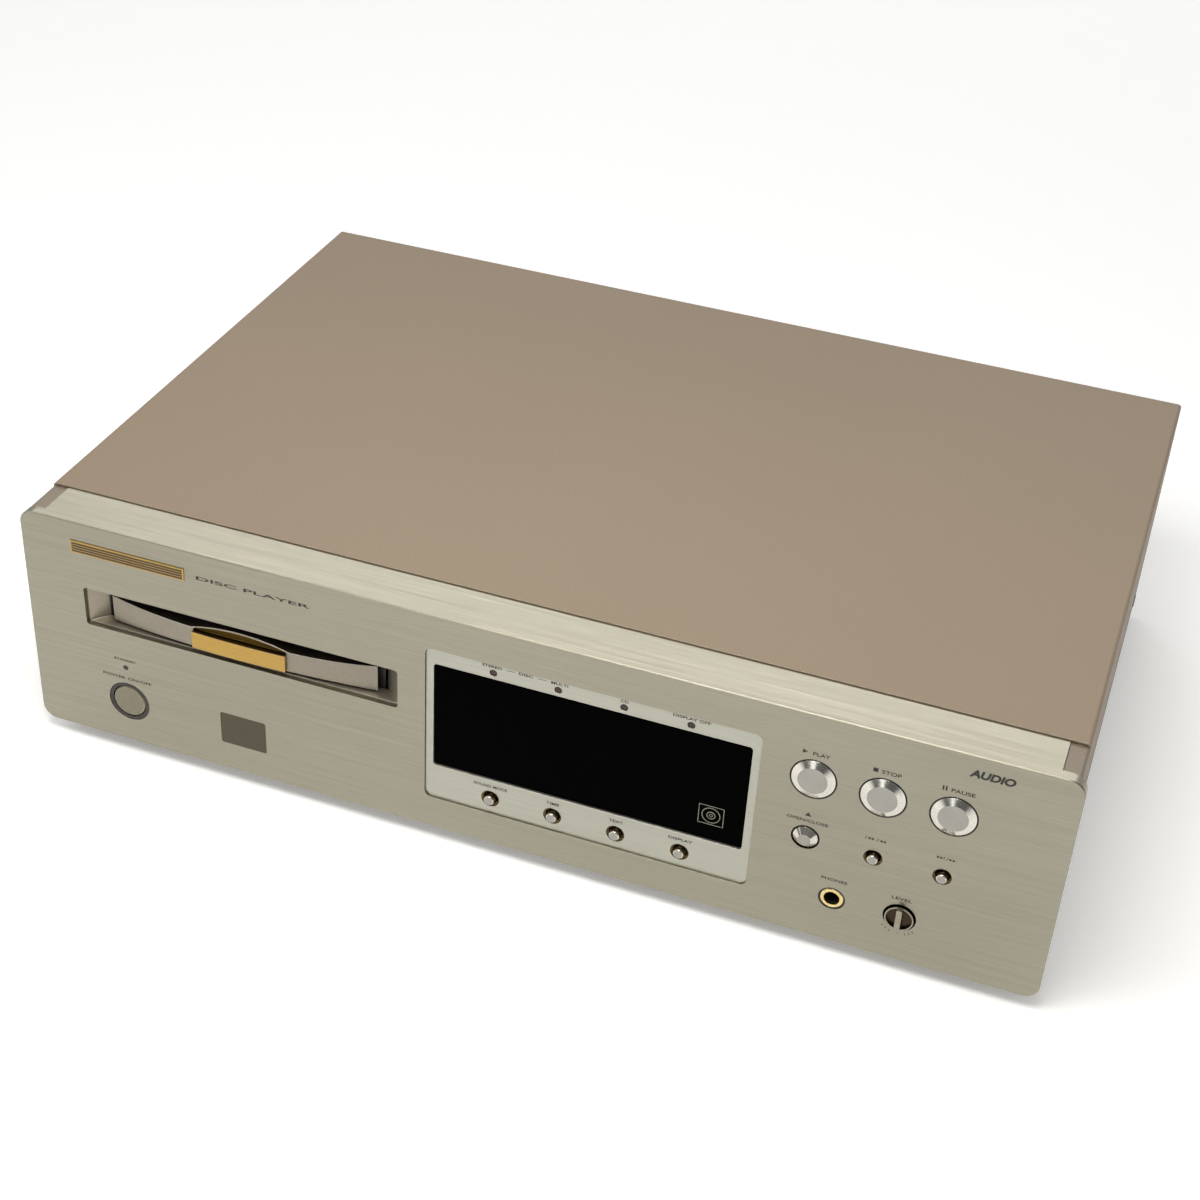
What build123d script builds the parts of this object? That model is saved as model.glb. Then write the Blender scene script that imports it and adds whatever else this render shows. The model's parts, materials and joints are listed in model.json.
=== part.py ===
from build123d import *
import math
import os

# A compact disc player of hi-fi width, in millimetres.
# X runs to the right seen from the front, Y from the front to the back, Z up.
# The origin is the middle of the footprint, on the surface that the feet stand on.

# ---------------------------------------------------------------- driving sizes
panel_width = 440.0
panel_height = 108.0
panel_thickness = 4.6
panel_corner_radius = 6.5
panel_chamfer = 0.4
panel_lift = 7.0            # height of the panel's lower edge above the surface
body_depth = 296.0          # panel face to the outside of the rear panel
case_inset = 2.5            # panel's edge to the case's side
sheet = 1.0                 # thickness of the steel sheets
knob_proud = 3.0            # how far the level knob stands in front of the panel
socket_proud = 9.0          # how far the rear sockets stand behind the rear panel

# clearances
button_gap = 0.3            # radial gap round a button
play_ring_gap = 0.45        # radial gap round the play, stop and pause buttons
seat_gap = 0.12             # gap round a piece pressed or clipped into an opening
case_gap = 0.2              # gap between the cover and what it goes over
seam_gap = 0.05             # gap between the flange or frame and the cover's front edge
shaft_gap = 0.05            # radial running clearance of shafts and pins
stop_gap = 0.3              # gap between a collar and the face that it stops against

# frame behind the panel, cover and base
flange_inset = 10.0         # panel's edge to the flange's end
flange_thickness = 1.6
frame_depth = 18.0
frame_wall = 1.2
base_drop = 3.0             # panel's lower edge to the underside of the base
cover_rise = 0.6            # cover's top above the panel's top edge
cover_overhang = 1.0        # cover behind the rear panel
cover_bend_radius = 1.6
base_flange_height = 25.0
rear_flange_height = 8.0
vent_slot_length = 60.0
vent_slot_width = 2.6
vent_slot_pitch = 8.0
vent_slot_count = 9
vent_from_board = 60.0      # main board's left edge to the first slot
foot_diameter = 40.0
foot_from_front = 42.0
foot_from_rear = 36.0
foot_from_side = 42.0
foot_bevel = 2.0
foot_sole_inset = 2.5       # foot's edge to its sole's edge

# screws
screw_diameter = 3.0
screw_hole_gap = 0.2
screw_head_diameter = 6.0
screw_head_height = 1.8
side_head_height = 0.4      # low heads on the cover's sides
screw_length = 8.0
screw_tip_gap = 0.5
side_screw_from_frame = 36.0
side_screw_from_rear = 30.0
rear_screw_inner = 60.0     # middle to the inner screws of the rear panel
rear_screw_inset = 12.5     # case's side to the outer screws of the rear panel

# tray opening, bezel and door
tray_x = -120.8
tray_opening_margin = 8.3   # throat's edge to the opening's edge
tray_opening_low = 57.6
tray_opening_high = 76.2
tray_opening_radius = 1.5
bezel_setback = 1.9
bezel_flange = 3.7          # bezel's thickness behind the panel
bezel_rim = 0.7
bezel_lip = 2.2
throat_gap = 0.7            # tray's edge to the throat's edge
throat_low = 59.4
throat_high = 74.2
door_gap = 2.6              # throat's edge to the door bar's end
door_low = 60.0
door_end_high = 72.2
door_waist_high = 69.5
door_crown_high = 73.0
door_waist_half = 22.65
door_middle_set = 1.0
door_end_set = 4.5
door_back_gap = 1.1         # bezel's back to the door's back
door_plate_thickness = 1.6
door_plate_gap = 0.5        # gap between the door's back plate and the throat
accent_width = 42.8
accent_low = 60.3
accent_face_high = 68.2
accent_proud = 1.5
accent_pocket = 7.4
accent_rim = 0.6            # thickness of the door's crown over the insert
accent_hollow_radius = 3.6
accent_hollow_rise = 2.7    # insert's flat face to the hollow's axis
accent_hollow_end = 0.8     # how far the hollow's cutter runs past the insert
accent_front_room = 10.0    # how far the cutters run in front of the panel
waist_sag = 0.7             # how much the door's waist sags in the middle

# disc tray and loader
disc_diameter = 120.0
disc_margin = 0.5
tray_side_rim = 2.3         # disc well's edge to the tray's edge
tray_front_rim = 6.1
tray_floor_low = 63.2
tray_rim_high = 70.2
disc_well_floor = 66.2
small_well_diameter = 81.0
small_well_floor = 65.2
tray_slot_width = 40.0
tray_held = 20.0            # length of the open tray that stays in the loader
tray_skirt_low = 60.2
tray_skirt_width = 4.6
disc_out = 4.0              # how far the disc's rear edge clears the panel's face when open
loader_setback = 11.7       # bezel's back to the loader's front
loader_tail = 6.0
loader_floor_low = 45.0
loader_floor_high = 47.0
loader_side_gap = 0.4
loader_wall = 3.3
loader_top = 74.8
ledge_top = 60.0
ledge_thickness = 2.5
ledge_reach = 6.2
loader_leg_diameter = 10.0
loader_leg_inset = 2.0      # loader's inner side to its legs
loader_leg_front = 8.0
loader_leg_rear = 12.0
keeper_reach = 3.0          # how far the keepers reach over the tray's rim
keeper_length = 14.0
keeper_thickness = 2.0
keeper_gap = 0.6
keeper_setback = 26.0       # spindle to the rear keepers
loader_rear_wall = 3.0
loader_window_half = 32.0
loader_window_front = 4.0   # traverse plate's front to the opening under it
loader_window_rear = 14.0

# drive of the tray
rack_module = 1.0
tooth_root = 1.25           # depth below the pitch line, in modules
tooth_tip = 0.8             # height above the pitch line, in modules
pinion_teeth = 20
rack_edge = -46.0           # outer edge of the tray's rack, from the tray's centre
rack_back_width = 3.0
tooth_sink = 0.2            # how far teeth run into the body they stand on, in modules
rack_low = 60.2
rack_lead = 6.0             # tray gear's centre to the rack's front end
rack_rear_gap = 1.0
gear_module = 0.8
big_gear_teeth = 40
small_gear_teeth = 15
tooth_backlash = 0.3
gear_setback = 18.0         # loader's front to the gears' axes
gear_pin_diameter = 4.0
big_gear_low = 55.4
big_gear_high = 58.4
gear_hub_diameter = 8.0     # hub between the pulley and the big gear, and the posts' shoulders
gear_hub_lap = 0.2          # how far the big gear runs into its hub
pinion_high = 62.9
pulley_low = 48.6
pulley_high = 53.6
pulley_diameter = 24.0
motor_pulley_diameter = 8.0
belt_thickness = 1.2
belt_height = 1.6
pulley_rim = 1.6
motor_spacing = 40.0        # pulley gear's centre to the motor's
loading_motor_diameter = 24.0
loading_motor_length = 20.0
motor_wall = 1.0
motor_edge_radius = 1.0
motor_base_gap = 1.0        # closed end of a motor to its shaft's end
motor_shaft_diameter = 2.0

# traverse with the turntable and the pickup
traverse_low = 53.0
traverse_thickness = 1.2
traverse_lead = 18.0        # traverse's front to the spindle
traverse_tail = 11.0        # sled's outer end to the traverse's rear
traverse_half_width = 43.0
sled_slot_half_width = 14.0
sled_slot_front = 18.0      # spindle to the slot the lens looks through
sled_slot_rear = 10.0       # plate's rear edge to that slot
shaft_hole_gap = 3.0
damper_inset = 6.0
damper_diameter = 8.0
damper_x = 38.0
spindle_motor_diameter = 24.0
spindle_motor_length = 12.0
turntable_diameter = 30.0
turntable_top = 66.8
turntable_thickness = 1.5
hub_diameter = 14.8
hub_height = 2.0
hub_wall = 1.5
turntable_shank_diameter = 8.0
spindle_motor_gap = 1.0     # traverse plate's top to the turntable's shank
rod_diameter = 3.0
rod_x = 23.0
rod_height = 57.8
rod_inset = 4.0             # traverse plate's edge to the rods' ends
rod_holder_length = 5.0
rod_holder_width = 6.0
sled_gap = 4.0              # turntable's edge to the sled
sled_length = 24.0
sled_half_width = 27.0
sled_low = 55.4
sled_high = 61.4
sled_pocket_half_width = 9.0
sled_pocket_front = 4.5     # lens to the pocket's front
sled_pocket_rear = 9.5
sled_pocket_floor = 1.5
holder_gap = 1.0            # pocket's front, rear and floor to the lens holder
holder_side_gap = 1.5
lens_barrel_diameter = 6.4
lens_tip_diameter = 4.4
lens_tip_height = 1.0
feed_rack_half = 4.0        # feed gear's centre to the rack's rear end
disc_edge = 2.0             # disc's rim that the lens doesn't reach
lens_offset = 24.0          # spindle to lens with the sled at its inner end
lens_top = 65.0
lens_floor_gap = 0.5        # room above the lens for it to focus
feed_rack_margin = 3.0
feed_gear_low = 55.2
feed_gear_high = 58.4
feed_motor_diameter = 12.0
feed_motor_length = 12.0
puck_low = 69.2
puck_thickness = 3.5
puck_diameter = 28.0
puck_neck_diameter = 10.0
puck_neck_gap = 1.0
puck_cap_thickness = 1.5
puck_cap_lip = 4.0          # how far the puck's cap stands out from its neck
puck_recess = 1.0
bridge_low = 80.3
bridge_thickness = 1.2
bridge_length = 26.0

# display
display_gap = 12.0          # tray opening's edge to the display's edge
display_width = 138.4
display_low = 15.9
display_high = 91.7
display_radius = 3.0
display_set = 0.8
display_flange = 1.6        # bezel's thickness behind the panel
display_lip = 2.0
window_width = 131.3
window_low = 33.1
window_high = 84.2
window_radius = 1.5
window_set = 1.8
window_thickness = 2.5
window_seat = 2.0
tube_width = 116.0
tube_height = 42.0
tube_front = 11.0

# small round things: centre heights are above the panel's lower edge
key_pitch = 27.1
key_first_shift = 28.8      # display's edge to the first key's centre
key_height = 23.2
key_diameter = 4.4
key_dish_diameter = 8.0
key_proud = 1.8
indicator_height = 87.3
indicator_diameter = 3.0
play_gap = 20.9             # display's edge to the play button's centre
play_pitch = 26.8
play_height = 77.8
play_diameter = 17.2
play_flat_diameter = 11.7
play_proud = 1.3
open_height = 49.0
open_diameter = 9.8
open_dish_diameter = 11.4
open_flat_diameter = 5.2
open_proud = 2.0
skip_height = 48.0
skip_diameter = 4.2
skip_dish_diameter = 7.6
skip_proud = 1.8
dish_depth = 1.2
key_gap = 0.2
press_travel = 0.8
button_collar = 1.2         # how far a button's collar stands out
button_rod_diameter = 4.0
pin_collar = 1.1
pin_collar_thickness = 1.0
pin_rod_diameter = 3.0
pin_round = 0.5
power_x = -175.4
power_height = 21.5
power_ring_diameter = 19.4
power_diameter = 15.2
power_travel = 3.0
power_ring_set = 0.2
power_ring_flange = 1.5     # ring's thickness behind the panel
power_collar = 1.5          # how far the collars stand out from what they hold back
collar_thickness = 1.2
power_rod_diameter = 5.0
power_switch_half = 6.0
power_switch_thickness = 1.2
power_chamfer = 0.5
lamp_x = -175.6
lamp_height = 39.5
lamp_diameter = 2.2
lamp_set = 0.2
lamp_collar = 0.4           # how much wider the lamp is behind the panel
lamp_collar_gap = 2.0       # panel's back to the lamp's collar
eye_x = -120.5
eye_width = 21.3
eye_low = 13.9
eye_high = 29.9
eye_radius = 1.0
eye_set = 0.1
eye_lip = 2.0               # window's flange beyond its opening
eye_flange = 1.4
phones_shift = 13.6         # play button's centre to the jack's
phones_height = 22.1
phones_barrel_diameter = 10.6
phones_ring_diameter = 9.4
phones_ring_depth = 1.4
phones_bore_diameter = 6.4
phones_bore_depth = 24.0
phones_set = 0.2
phones_body_half_width = 6.5
phones_body_half_height = 7.5
phones_body_wall = 3.0
phones_notch_gap = 1.0      # jack's body to the notch in its board
phones_ring_chamfer = 0.3
level_shift = 40.6          # play button's centre to the knob's
level_hole_diameter = 13.1
level_knob_diameter = 11.5
level_knob_set = -1.0
level_cup_depth = 1.2
level_rim = 0.6
level_blade_width = 2.2
level_shaft_diameter = 6.0
level_back_set = 0.6        # knob's back in front of the panel's back
level_shaft_gap = 2.0       # shaft's end to the board
level_bush_half = 6.0
level_bush_gap = 3.0        # panel's back to the bush
level_bush_base = 1.6
badge_x = -170.0
badge_width = 52.7
badge_low = 93.2
badge_high = 99.2
badge_proud = 0.5
badge_recess = 0.4
badge_chamfer = 0.25

# boards, with depths behind the panel's face
board_thickness = 1.6
side_board_gap = 12.4       # panel's back to the side boards
display_board_gap = 15.4    # panel's back to the display board
post_diameter = 6.0
control_board_left = 14.3   # play button's centre to the control board's left edge
control_board_right = 25.4  # pause button's centre to its right edge
control_board_low = 9.0
control_board_high = 100.0
control_post_inset = 4.0
power_board_left = 25.6     # power button's centre to the power board's left edge
power_board_right = 78.4    # power button's centre to its right edge
power_board_low = 8.0
power_board_high = 43.0
power_post_inset = 5.0
switch_size = 6.0
switch_height = 3.4
plunger_diameter = 3.4
plunger_height = 1.0
# rows of capacitors on the main board: first one's place from the board's left edge and from
# its rear edge, then how many, their spacing, diameter and height
capacitor_rows = [
    (22.0, 84.0, 2, 26.0, 22.0, 35.0),
    (22.0, 52.0, 1, 0.0, 16.0, 25.0),
    (46.0, 52.0, 4, 14.0, 10.0, 16.0),
    (168.0, 44.0, 4, 16.0, 12.0, 20.0),
]
receiver_half = 4.0
receiver_thickness = 5.0
main_board_low = 12.0
main_board_left = -38.0
main_board_front = 34.0
main_board_rear_gap = 11.0
board_side_margin = 8.0
main_post_inset = 8.0       # board's edges to its posts

# rear and power
socket_block_depth = 18.0
socket_face_proud = 1.5
socket_diameter = 8.3
socket_bore_diameter = 3.4
socket_height = 34.0
socket_spacing = 16.0
audio_x = 150.0             # first socket of the audio pair
digital_x = 110.0
control_x = 60.0            # first socket of the control pair
optical_left = 92.0
optical_width = 7.0
socket_margin = 8.0         # socket's centre to its block's edge
barrel_base = 0.8           # closed bottom of a socket's barrel
inlet_x = -178.0
inlet_height = 34.0
inlet_lobe_diameter = 8.0
inlet_lobe_spacing = 8.6
inlet_depth = 13.5
inlet_pin_diameter = 2.4
inlet_side_wall = 3.6
inlet_edge_wall = 3.4
inlet_base = 4.0            # wall behind the inlet's recess
inlet_pin_set = 3.0         # inlet's mouth to its pins' ends
transformer_x = -172.0
core_width = 60.0
core_length = 24.0
core_height = 50.0
winding_width = 38.0
winding_length = 48.0

# ---------------------------------------------------------------- places worked out
panel_face_y = knob_proud - (knob_proud + body_depth + socket_proud) / 2
case_half = panel_width / 2 - case_inset
flange_width = panel_width - 2 * flange_inset
well_diameter = disc_diameter + 2 * disc_margin
tray_width = well_diameter + 2 * tray_side_rim
throat_width = tray_width + 2 * throat_gap
tray_opening_width = throat_width + 2 * tray_opening_margin
door_width = throat_width - 2 * door_gap
bezel_rear = panel_thickness + bezel_flange
door_back = bezel_rear + door_back_gap
spindle_depth = door_back + tray_front_rim + well_diameter / 2
tray_travel = spindle_depth + disc_diameter / 2 + disc_out
loader_front = bezel_rear + loader_setback
tray_rear = loader_front + tray_travel + tray_held
loader_rear = tray_rear + loader_tail
gear_depth = loader_front + gear_setback
sled_front = spindle_depth + turntable_diameter / 2 + sled_gap
sled_travel = disc_diameter / 2 - disc_edge - lens_offset
traverse_front = spindle_depth - traverse_lead
traverse_rear = sled_front + sled_length + sled_travel + traverse_tail
feed_depth = sled_front + sled_travel + feed_rack_margin
display_x = tray_x + tray_opening_width / 2 + display_gap + display_width / 2
display_rear = panel_thickness + display_flange
key_first_x = display_x - display_width / 2 + key_first_shift
play_x = display_x + display_width / 2 + play_gap
phones_x = play_x + phones_shift
level_x = play_x + level_shift
side_board_depth = panel_thickness + side_board_gap
display_board_depth = panel_thickness + display_board_gap
panel_top = panel_height
base_low = base_drop
base_top = base_low + sheet
cover_top = panel_height + cover_rise
cheek_top = cover_top - sheet - case_gap
frame_rear = panel_thickness + frame_depth
frame_top = panel_height - flange_thickness
cover_rear = body_depth + cover_overhang
rear_inside = body_depth - sheet
main_board_rear = rear_inside - main_board_rear_gap
transformer_depth = (loader_rear + body_depth - foot_from_rear) / 2
inner_half = case_half - sheet - case_gap
tray_half = tray_width / 2
loader_inner = tray_half + loader_side_gap
loader_outer = loader_inner + loader_wall
ledge_inner = loader_inner - ledge_reach
pinion_radius = rack_module * pinion_teeth / 2
rack_pitch_x = rack_edge + rack_back_width + tooth_root * rack_module
tray_gear_x = rack_pitch_x + pinion_radius
gear_spacing = gear_module * (big_gear_teeth + small_gear_teeth) / 2
pulley_gear_x = tray_gear_x + gear_spacing
motor_x = pulley_gear_x + motor_spacing
feed_radius = gear_module * small_gear_teeth / 2
feed_rack_edge = -sled_half_width - rack_back_width
feed_gear_x = feed_rack_edge - tooth_root * gear_module - feed_radius
side_board_front = side_board_depth
switch_front = side_board_depth - switch_height - plunger_height
stem_end = switch_front - press_travel - button_gap
key_switch_front = display_board_depth - switch_height - plunger_height
key_stem_end = key_switch_front - press_travel - button_gap
traverse_top = traverse_low + traverse_thickness
rod_start = traverse_front + rod_inset
rod_end = traverse_rear - rod_inset


# ---------------------------------------------------------------- shapes
# Depths run back from the panel's face and heights up from its lower edge.
def place(x, depth, height):
    """The position of a point given by its depth and height."""
    return Pos(x, panel_face_y + depth, panel_lift + height)


def block(left, right, front, rear, low, high):
    """A box between two opposite corners."""
    middle = place((left + right) / 2, (front + rear) / 2, (low + high) / 2)
    return middle * Box(right - left, rear - front, high - low)


def slab(left, right, front, rear, low, high, radius):
    """A box with its four front-to-back edges rounded."""
    plain = block(left, right, front, rear, low, high)
    return fillet(plain.edges().filter_by(Axis.Y), radius)


def cylinder_y(x, height, front, rear, diameter):
    """A cylinder that runs from front to back."""
    return place(x, (front + rear) / 2, height) * Rot(90, 0, 0) * Cylinder(diameter / 2, rear - front)


def cone_y(x, height, front, rear, front_diameter, rear_diameter):
    """A cone that runs from front to back."""
    cone = Cone(rear_diameter / 2, front_diameter / 2, rear - front)
    return place(x, (front + rear) / 2, height) * Rot(90, 0, 0) * cone


def cylinder_z(x, depth, low, high, diameter):
    """An upright cylinder."""
    return place(x, depth, (low + high) / 2) * Cylinder(diameter / 2, high - low)


def cone_z(x, depth, low, high, low_diameter, high_diameter):
    """An upright cone."""
    cone = Cone(low_diameter / 2, high_diameter / 2, high - low)
    return place(x, depth, (low + high) / 2) * cone


def cylinder_x(depth, height, left, right, diameter):
    """A cylinder that runs from left to right."""
    return place((left + right) / 2, depth, height) * Rot(0, 90, 0) * Cylinder(diameter / 2, right - left)


def group(solids):
    """Separate solids kept together in one node."""
    return Compound(children=[solid for solid in solids])


def tooth_profile(module, tip, root):
    """A straight-sided tooth as a face: along +X from root to tip, pitch line at 0."""
    slope = math.tan(math.radians(20))
    half = (math.pi * module / 2 - tooth_backlash) / 2
    corners = [
        (-root, half + root * slope),
        (-root, -half - root * slope),
        (tip, -half + tip * slope),
        (tip, half - tip * slope),
    ]
    return make_face(Polyline(*corners, close=True))


def gear(module, teeth, thickness):
    """A spur gear about +Z standing on z = 0, with one tooth centred on +X."""
    radius = module * teeth / 2
    root = tooth_root * module
    profile = tooth_profile(module, tooth_tip * module, root + tooth_sink * module)
    tooth = Pos(radius, 0, 0) * extrude(profile, thickness)
    wheel = Pos(0, 0, thickness / 2) * Cylinder(radius - root, thickness)
    return wheel + [Rot(0, 0, 360 * index / teeth) * tooth for index in range(teeth)]


def rack(module, x, facing, front, rear, low, high, gap_at):
    """Teeth of a rack along Y whose pitch line is at x, with a gap centred at the depth gap_at."""
    pitch = math.pi * module
    first = math.ceil((front + module - gap_at) / pitch - 0.5)
    last = math.floor((rear - module - gap_at) / pitch - 0.5)
    turn = 0 if facing > 0 else 180
    root = tooth_root * module
    tooth = extrude(tooth_profile(module, tooth_tip * module, root + tooth_sink * module), high - low)
    return [
        place(x, gap_at + (index + 0.5) * pitch, low) * Rot(0, 0, turn) * tooth
        for index in range(first, last + 1)
    ]


def posts(centres, front, rear):
    """Round mounting posts between two depths."""
    return [cylinder_y(x, height, front, rear, post_diameter) for x, height in centres]


def key_centres():
    """The centres of the four display keys, and of the indicators above them."""
    return [key_first_x + index * key_pitch for index in range(4)]


def play_centres():
    """The centres of the play, stop and pause buttons."""
    return [play_x + index * play_pitch for index in range(3)]


def skip_centres():
    """The centres of the two skip buttons."""
    return [play_x + play_pitch, play_x + 2 * play_pitch]


# ---------------------------------------------------------------- casing
def control_board_span():
    """Left and right edges of the board behind the right-hand controls."""
    return play_x - control_board_left, play_x + 2 * play_pitch + control_board_right


def power_board_span():
    """Left and right edges of the board behind the power button."""
    return power_x - power_board_left, power_x + power_board_right


def side_board_posts():
    """Posts on the panel's back that carry the two side boards."""
    left, right = control_board_span()
    places = [
        (x, height)
        for x in (left + control_post_inset, right - control_post_inset)
        for height in (control_board_low + control_post_inset, control_board_high - control_post_inset)
    ]
    left, right = power_board_span()
    low = power_board_low + power_post_inset
    high = power_board_high - power_post_inset
    inner = right - power_post_inset
    return places + [(left + power_post_inset, low), (inner, low), (inner, high)]


def dished_hole(x, height, dish_diameter, hole_diameter, face, rear):
    """A round hole whose mouth opens out in a shallow cone."""
    mouth = cone_y(x, height, face, face + dish_depth, dish_diameter, hole_diameter)
    return mouth + cylinder_y(x, height, face, rear, hole_diameter)


def make_front_panel():
    """Thick panel with rounded corners, a top flange and every control opening."""
    half = panel_width / 2
    panel = slab(-half, half, 0, panel_thickness, 0, panel_height, panel_corner_radius)
    panel = chamfer(panel.faces().sort_by(Axis.Y)[0].edges(), panel_chamfer)
    reach = frame_rear - seam_gap
    flange_half = flange_width / 2
    panel += block(-flange_half, flange_half, panel_thickness, reach, frame_top, panel_top)
    panel += posts(side_board_posts(), panel_thickness, side_board_front)
    tray_left = tray_x - tray_opening_width / 2
    panel -= slab(
        tray_left, tray_left + tray_opening_width, 0, panel_thickness,
        tray_opening_low, tray_opening_high, tray_opening_radius,
    )
    display_left = display_x - display_width / 2
    panel -= slab(
        display_left, display_left + display_width, 0, panel_thickness,
        display_low, display_high, display_radius,
    )
    half = eye_width / 2
    panel -= slab(eye_x - half, eye_x + half, 0, panel_thickness, eye_low, eye_high, eye_radius)
    badge_half = badge_width / 2 + seat_gap
    panel -= block(
        badge_x - badge_half, badge_x + badge_half, 0, badge_recess,
        badge_low - seat_gap, badge_high + seat_gap,
    )
    panel -= cylinder_y(lamp_x, lamp_height, 0, panel_thickness, lamp_diameter + 2 * seat_gap)
    panel -= cylinder_y(power_x, power_height, 0, panel_thickness, power_ring_diameter)
    panel -= cylinder_y(phones_x, phones_height, 0, panel_thickness, phones_barrel_diameter + 2 * seat_gap)
    panel -= cylinder_y(level_x, phones_height, 0, panel_thickness, level_hole_diameter)
    for x in play_centres():
        panel -= cylinder_y(x, play_height, 0, panel_thickness, play_diameter + 2 * play_ring_gap)
    open_hole = open_diameter + 2 * button_gap
    panel -= dished_hole(play_x, open_height, open_dish_diameter, open_hole, 0, panel_thickness)
    for x in skip_centres():
        skip_hole = skip_diameter + 2 * key_gap
        panel -= dished_hole(x, skip_height, skip_dish_diameter, skip_hole, 0, panel_thickness)
    return panel


def make_front_frame():
    """Folded frame behind the panel, open at the front and back, stepped down under the flange."""
    outer = block(-case_half, case_half, panel_thickness, frame_rear, base_low, cheek_top)
    outer = fillet(outer.edges().filter_by(Axis.Y).group_by(Axis.Z)[-1], cover_bend_radius)
    step_half = flange_width / 2 + case_gap
    outer -= block(-step_half, step_half, panel_thickness, frame_rear, frame_top, cheek_top)
    inner = block(
        -case_half + frame_wall, case_half - frame_wall, panel_thickness, frame_rear,
        base_low + frame_wall, frame_top - frame_wall,
    )
    return outer - inner


def side_screw_places():
    """Depth and height of the screws through the cover's sides."""
    height = base_top + base_flange_height / 2
    return [(frame_rear + side_screw_from_frame, height), (body_depth - side_screw_from_rear, height)]


def rear_screw_places():
    """Centre and height of the screws through the rear panel's lower edge."""
    height = base_top + rear_flange_height / 2
    outer = case_half - rear_screw_inset
    return [(x, height) for x in (-outer, -rear_screw_inner, rear_screw_inner, outer)]


def make_top_cover():
    """Folded cover: one top and two sides."""
    front = frame_rear + seam_gap
    outer = block(-case_half, case_half, front, cover_rear, base_low, cover_top)
    outer = fillet(outer.edges().filter_by(Axis.Y).group_by(Axis.Z)[-1], cover_bend_radius)
    inner = block(
        -case_half + sheet, case_half - sheet, front, cover_rear, base_low, cover_top - sheet,
    )
    cover = outer - inner
    for depth, height in side_screw_places():
        cover -= cylinder_x(depth, height, -case_half, case_half, screw_diameter + 2 * screw_hole_gap)
    return cover


def main_board_posts():
    """Centre and depth of the posts that carry the main board."""
    right = case_half - board_side_margin - main_post_inset
    left = main_board_left + main_post_inset
    front = main_board_front + main_post_inset
    rear = main_board_rear - main_post_inset
    middle = (front + rear) / 2
    return [(x, depth) for x in (left, right) for depth in (front, middle, rear)]


def make_chassis_base():
    """Folded base with side and rear flanges, vent slots and board posts."""
    base = block(-inner_half, inner_half, frame_rear, rear_inside, base_low, base_top)
    flange_top = base_top + base_flange_height
    for side in (-1, 1):
        outer = side * inner_half
        inner = side * (inner_half - sheet)
        base += block(min(outer, inner), max(outer, inner), frame_rear, rear_inside, base_low, flange_top)
    base += block(
        -inner_half, inner_half, rear_inside - sheet, rear_inside, base_low, base_top + rear_flange_height,
    )
    base += [
        cylinder_z(x, depth, base_top, main_board_low, post_diameter)
        for x, depth in main_board_posts()
    ]
    for index in range(vent_slot_count):
        x = main_board_left + vent_from_board + index * vent_slot_pitch
        base -= block(
            x, x + vent_slot_width, body_depth / 2, body_depth / 2 + vent_slot_length, base_low, base_top,
        )
    hole = screw_diameter + 2 * screw_hole_gap
    for depth, height in side_screw_places():
        base -= cylinder_x(depth, height, -inner_half, -inner_half + sheet, hole)
        base -= cylinder_x(depth, height, inner_half - sheet, inner_half, hole)
    for x, height in rear_screw_places():
        base -= cylinder_y(x, height, rear_inside - sheet, rear_inside, hole)
    for x, depth in foot_places():
        base -= cylinder_z(x, depth, base_low, base_top, hole)
    return base


def socket_places():
    """Centre of each rear socket: two audio outputs, one digital output, two control sockets."""
    return [audio_x, audio_x + socket_spacing, digital_x, control_x, control_x + socket_spacing]


def socket_blocks_spans():
    """Left and right edges of the four socket blocks."""
    return [
        (audio_x - socket_margin, audio_x + socket_spacing + socket_margin),
        (digital_x - socket_margin, digital_x + socket_margin),
        (optical_left, optical_left + optical_width),
        (control_x - socket_margin, control_x + socket_spacing + socket_margin),
    ]


def socket_block_heights():
    """Lower and upper edge of the socket blocks."""
    return main_board_low + board_thickness, socket_height + socket_margin


def inlet_span():
    """Edges of the mains inlet's body."""
    half_width = inlet_lobe_spacing / 2 + inlet_lobe_diameter / 2 + inlet_side_wall
    half_height = inlet_lobe_diameter / 2 + inlet_edge_wall
    return inlet_x - half_width, inlet_x + half_width, inlet_height - half_height, inlet_height + half_height


def make_rear_panel():
    """Flat rear panel with cut-outs for the sockets and the inlet."""
    panel = block(-inner_half, inner_half, rear_inside, body_depth, base_low, cover_top - sheet - case_gap)
    low, high = socket_block_heights()
    for left, right in socket_blocks_spans():
        panel -= block(
            left - seat_gap, right + seat_gap, rear_inside, body_depth, low - seat_gap, high + seat_gap,
        )
    left, right, low, high = inlet_span()
    panel -= block(
        left - seat_gap, right + seat_gap, rear_inside, body_depth, low - seat_gap, high + seat_gap,
    )
    hole = screw_diameter + 2 * screw_hole_gap
    for x, height in rear_screw_places():
        panel -= cylinder_y(x, height, rear_inside, body_depth, hole)
    return panel


def make_case_screws():
    """Pan-head screws: cover sides, rear panel and feet."""
    screws = []
    for side in (-1, 1):
        for depth, height in side_screw_places():
            head = cylinder_x(
                depth, height, min(side * case_half, side * (case_half + side_head_height)),
                max(side * case_half, side * (case_half + side_head_height)), screw_head_diameter,
            )
            inner = side * (case_half - screw_length)
            shank = cylinder_x(
                depth, height, min(side * case_half, inner), max(side * case_half, inner), screw_diameter,
            )
            screws.append(head + shank)
    for x, height in rear_screw_places():
        head = cylinder_y(x, height, body_depth, body_depth + screw_head_height, screw_head_diameter)
        screws.append(head + cylinder_y(x, height, body_depth - screw_length, body_depth, screw_diameter))
    for x, depth in foot_places():
        head = cylinder_z(x, depth, base_top, base_top + screw_head_height, screw_head_diameter)
        screws.append(head + cylinder_z(x, depth, base_top - screw_length, base_top, screw_diameter))
    return group(screws)


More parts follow.
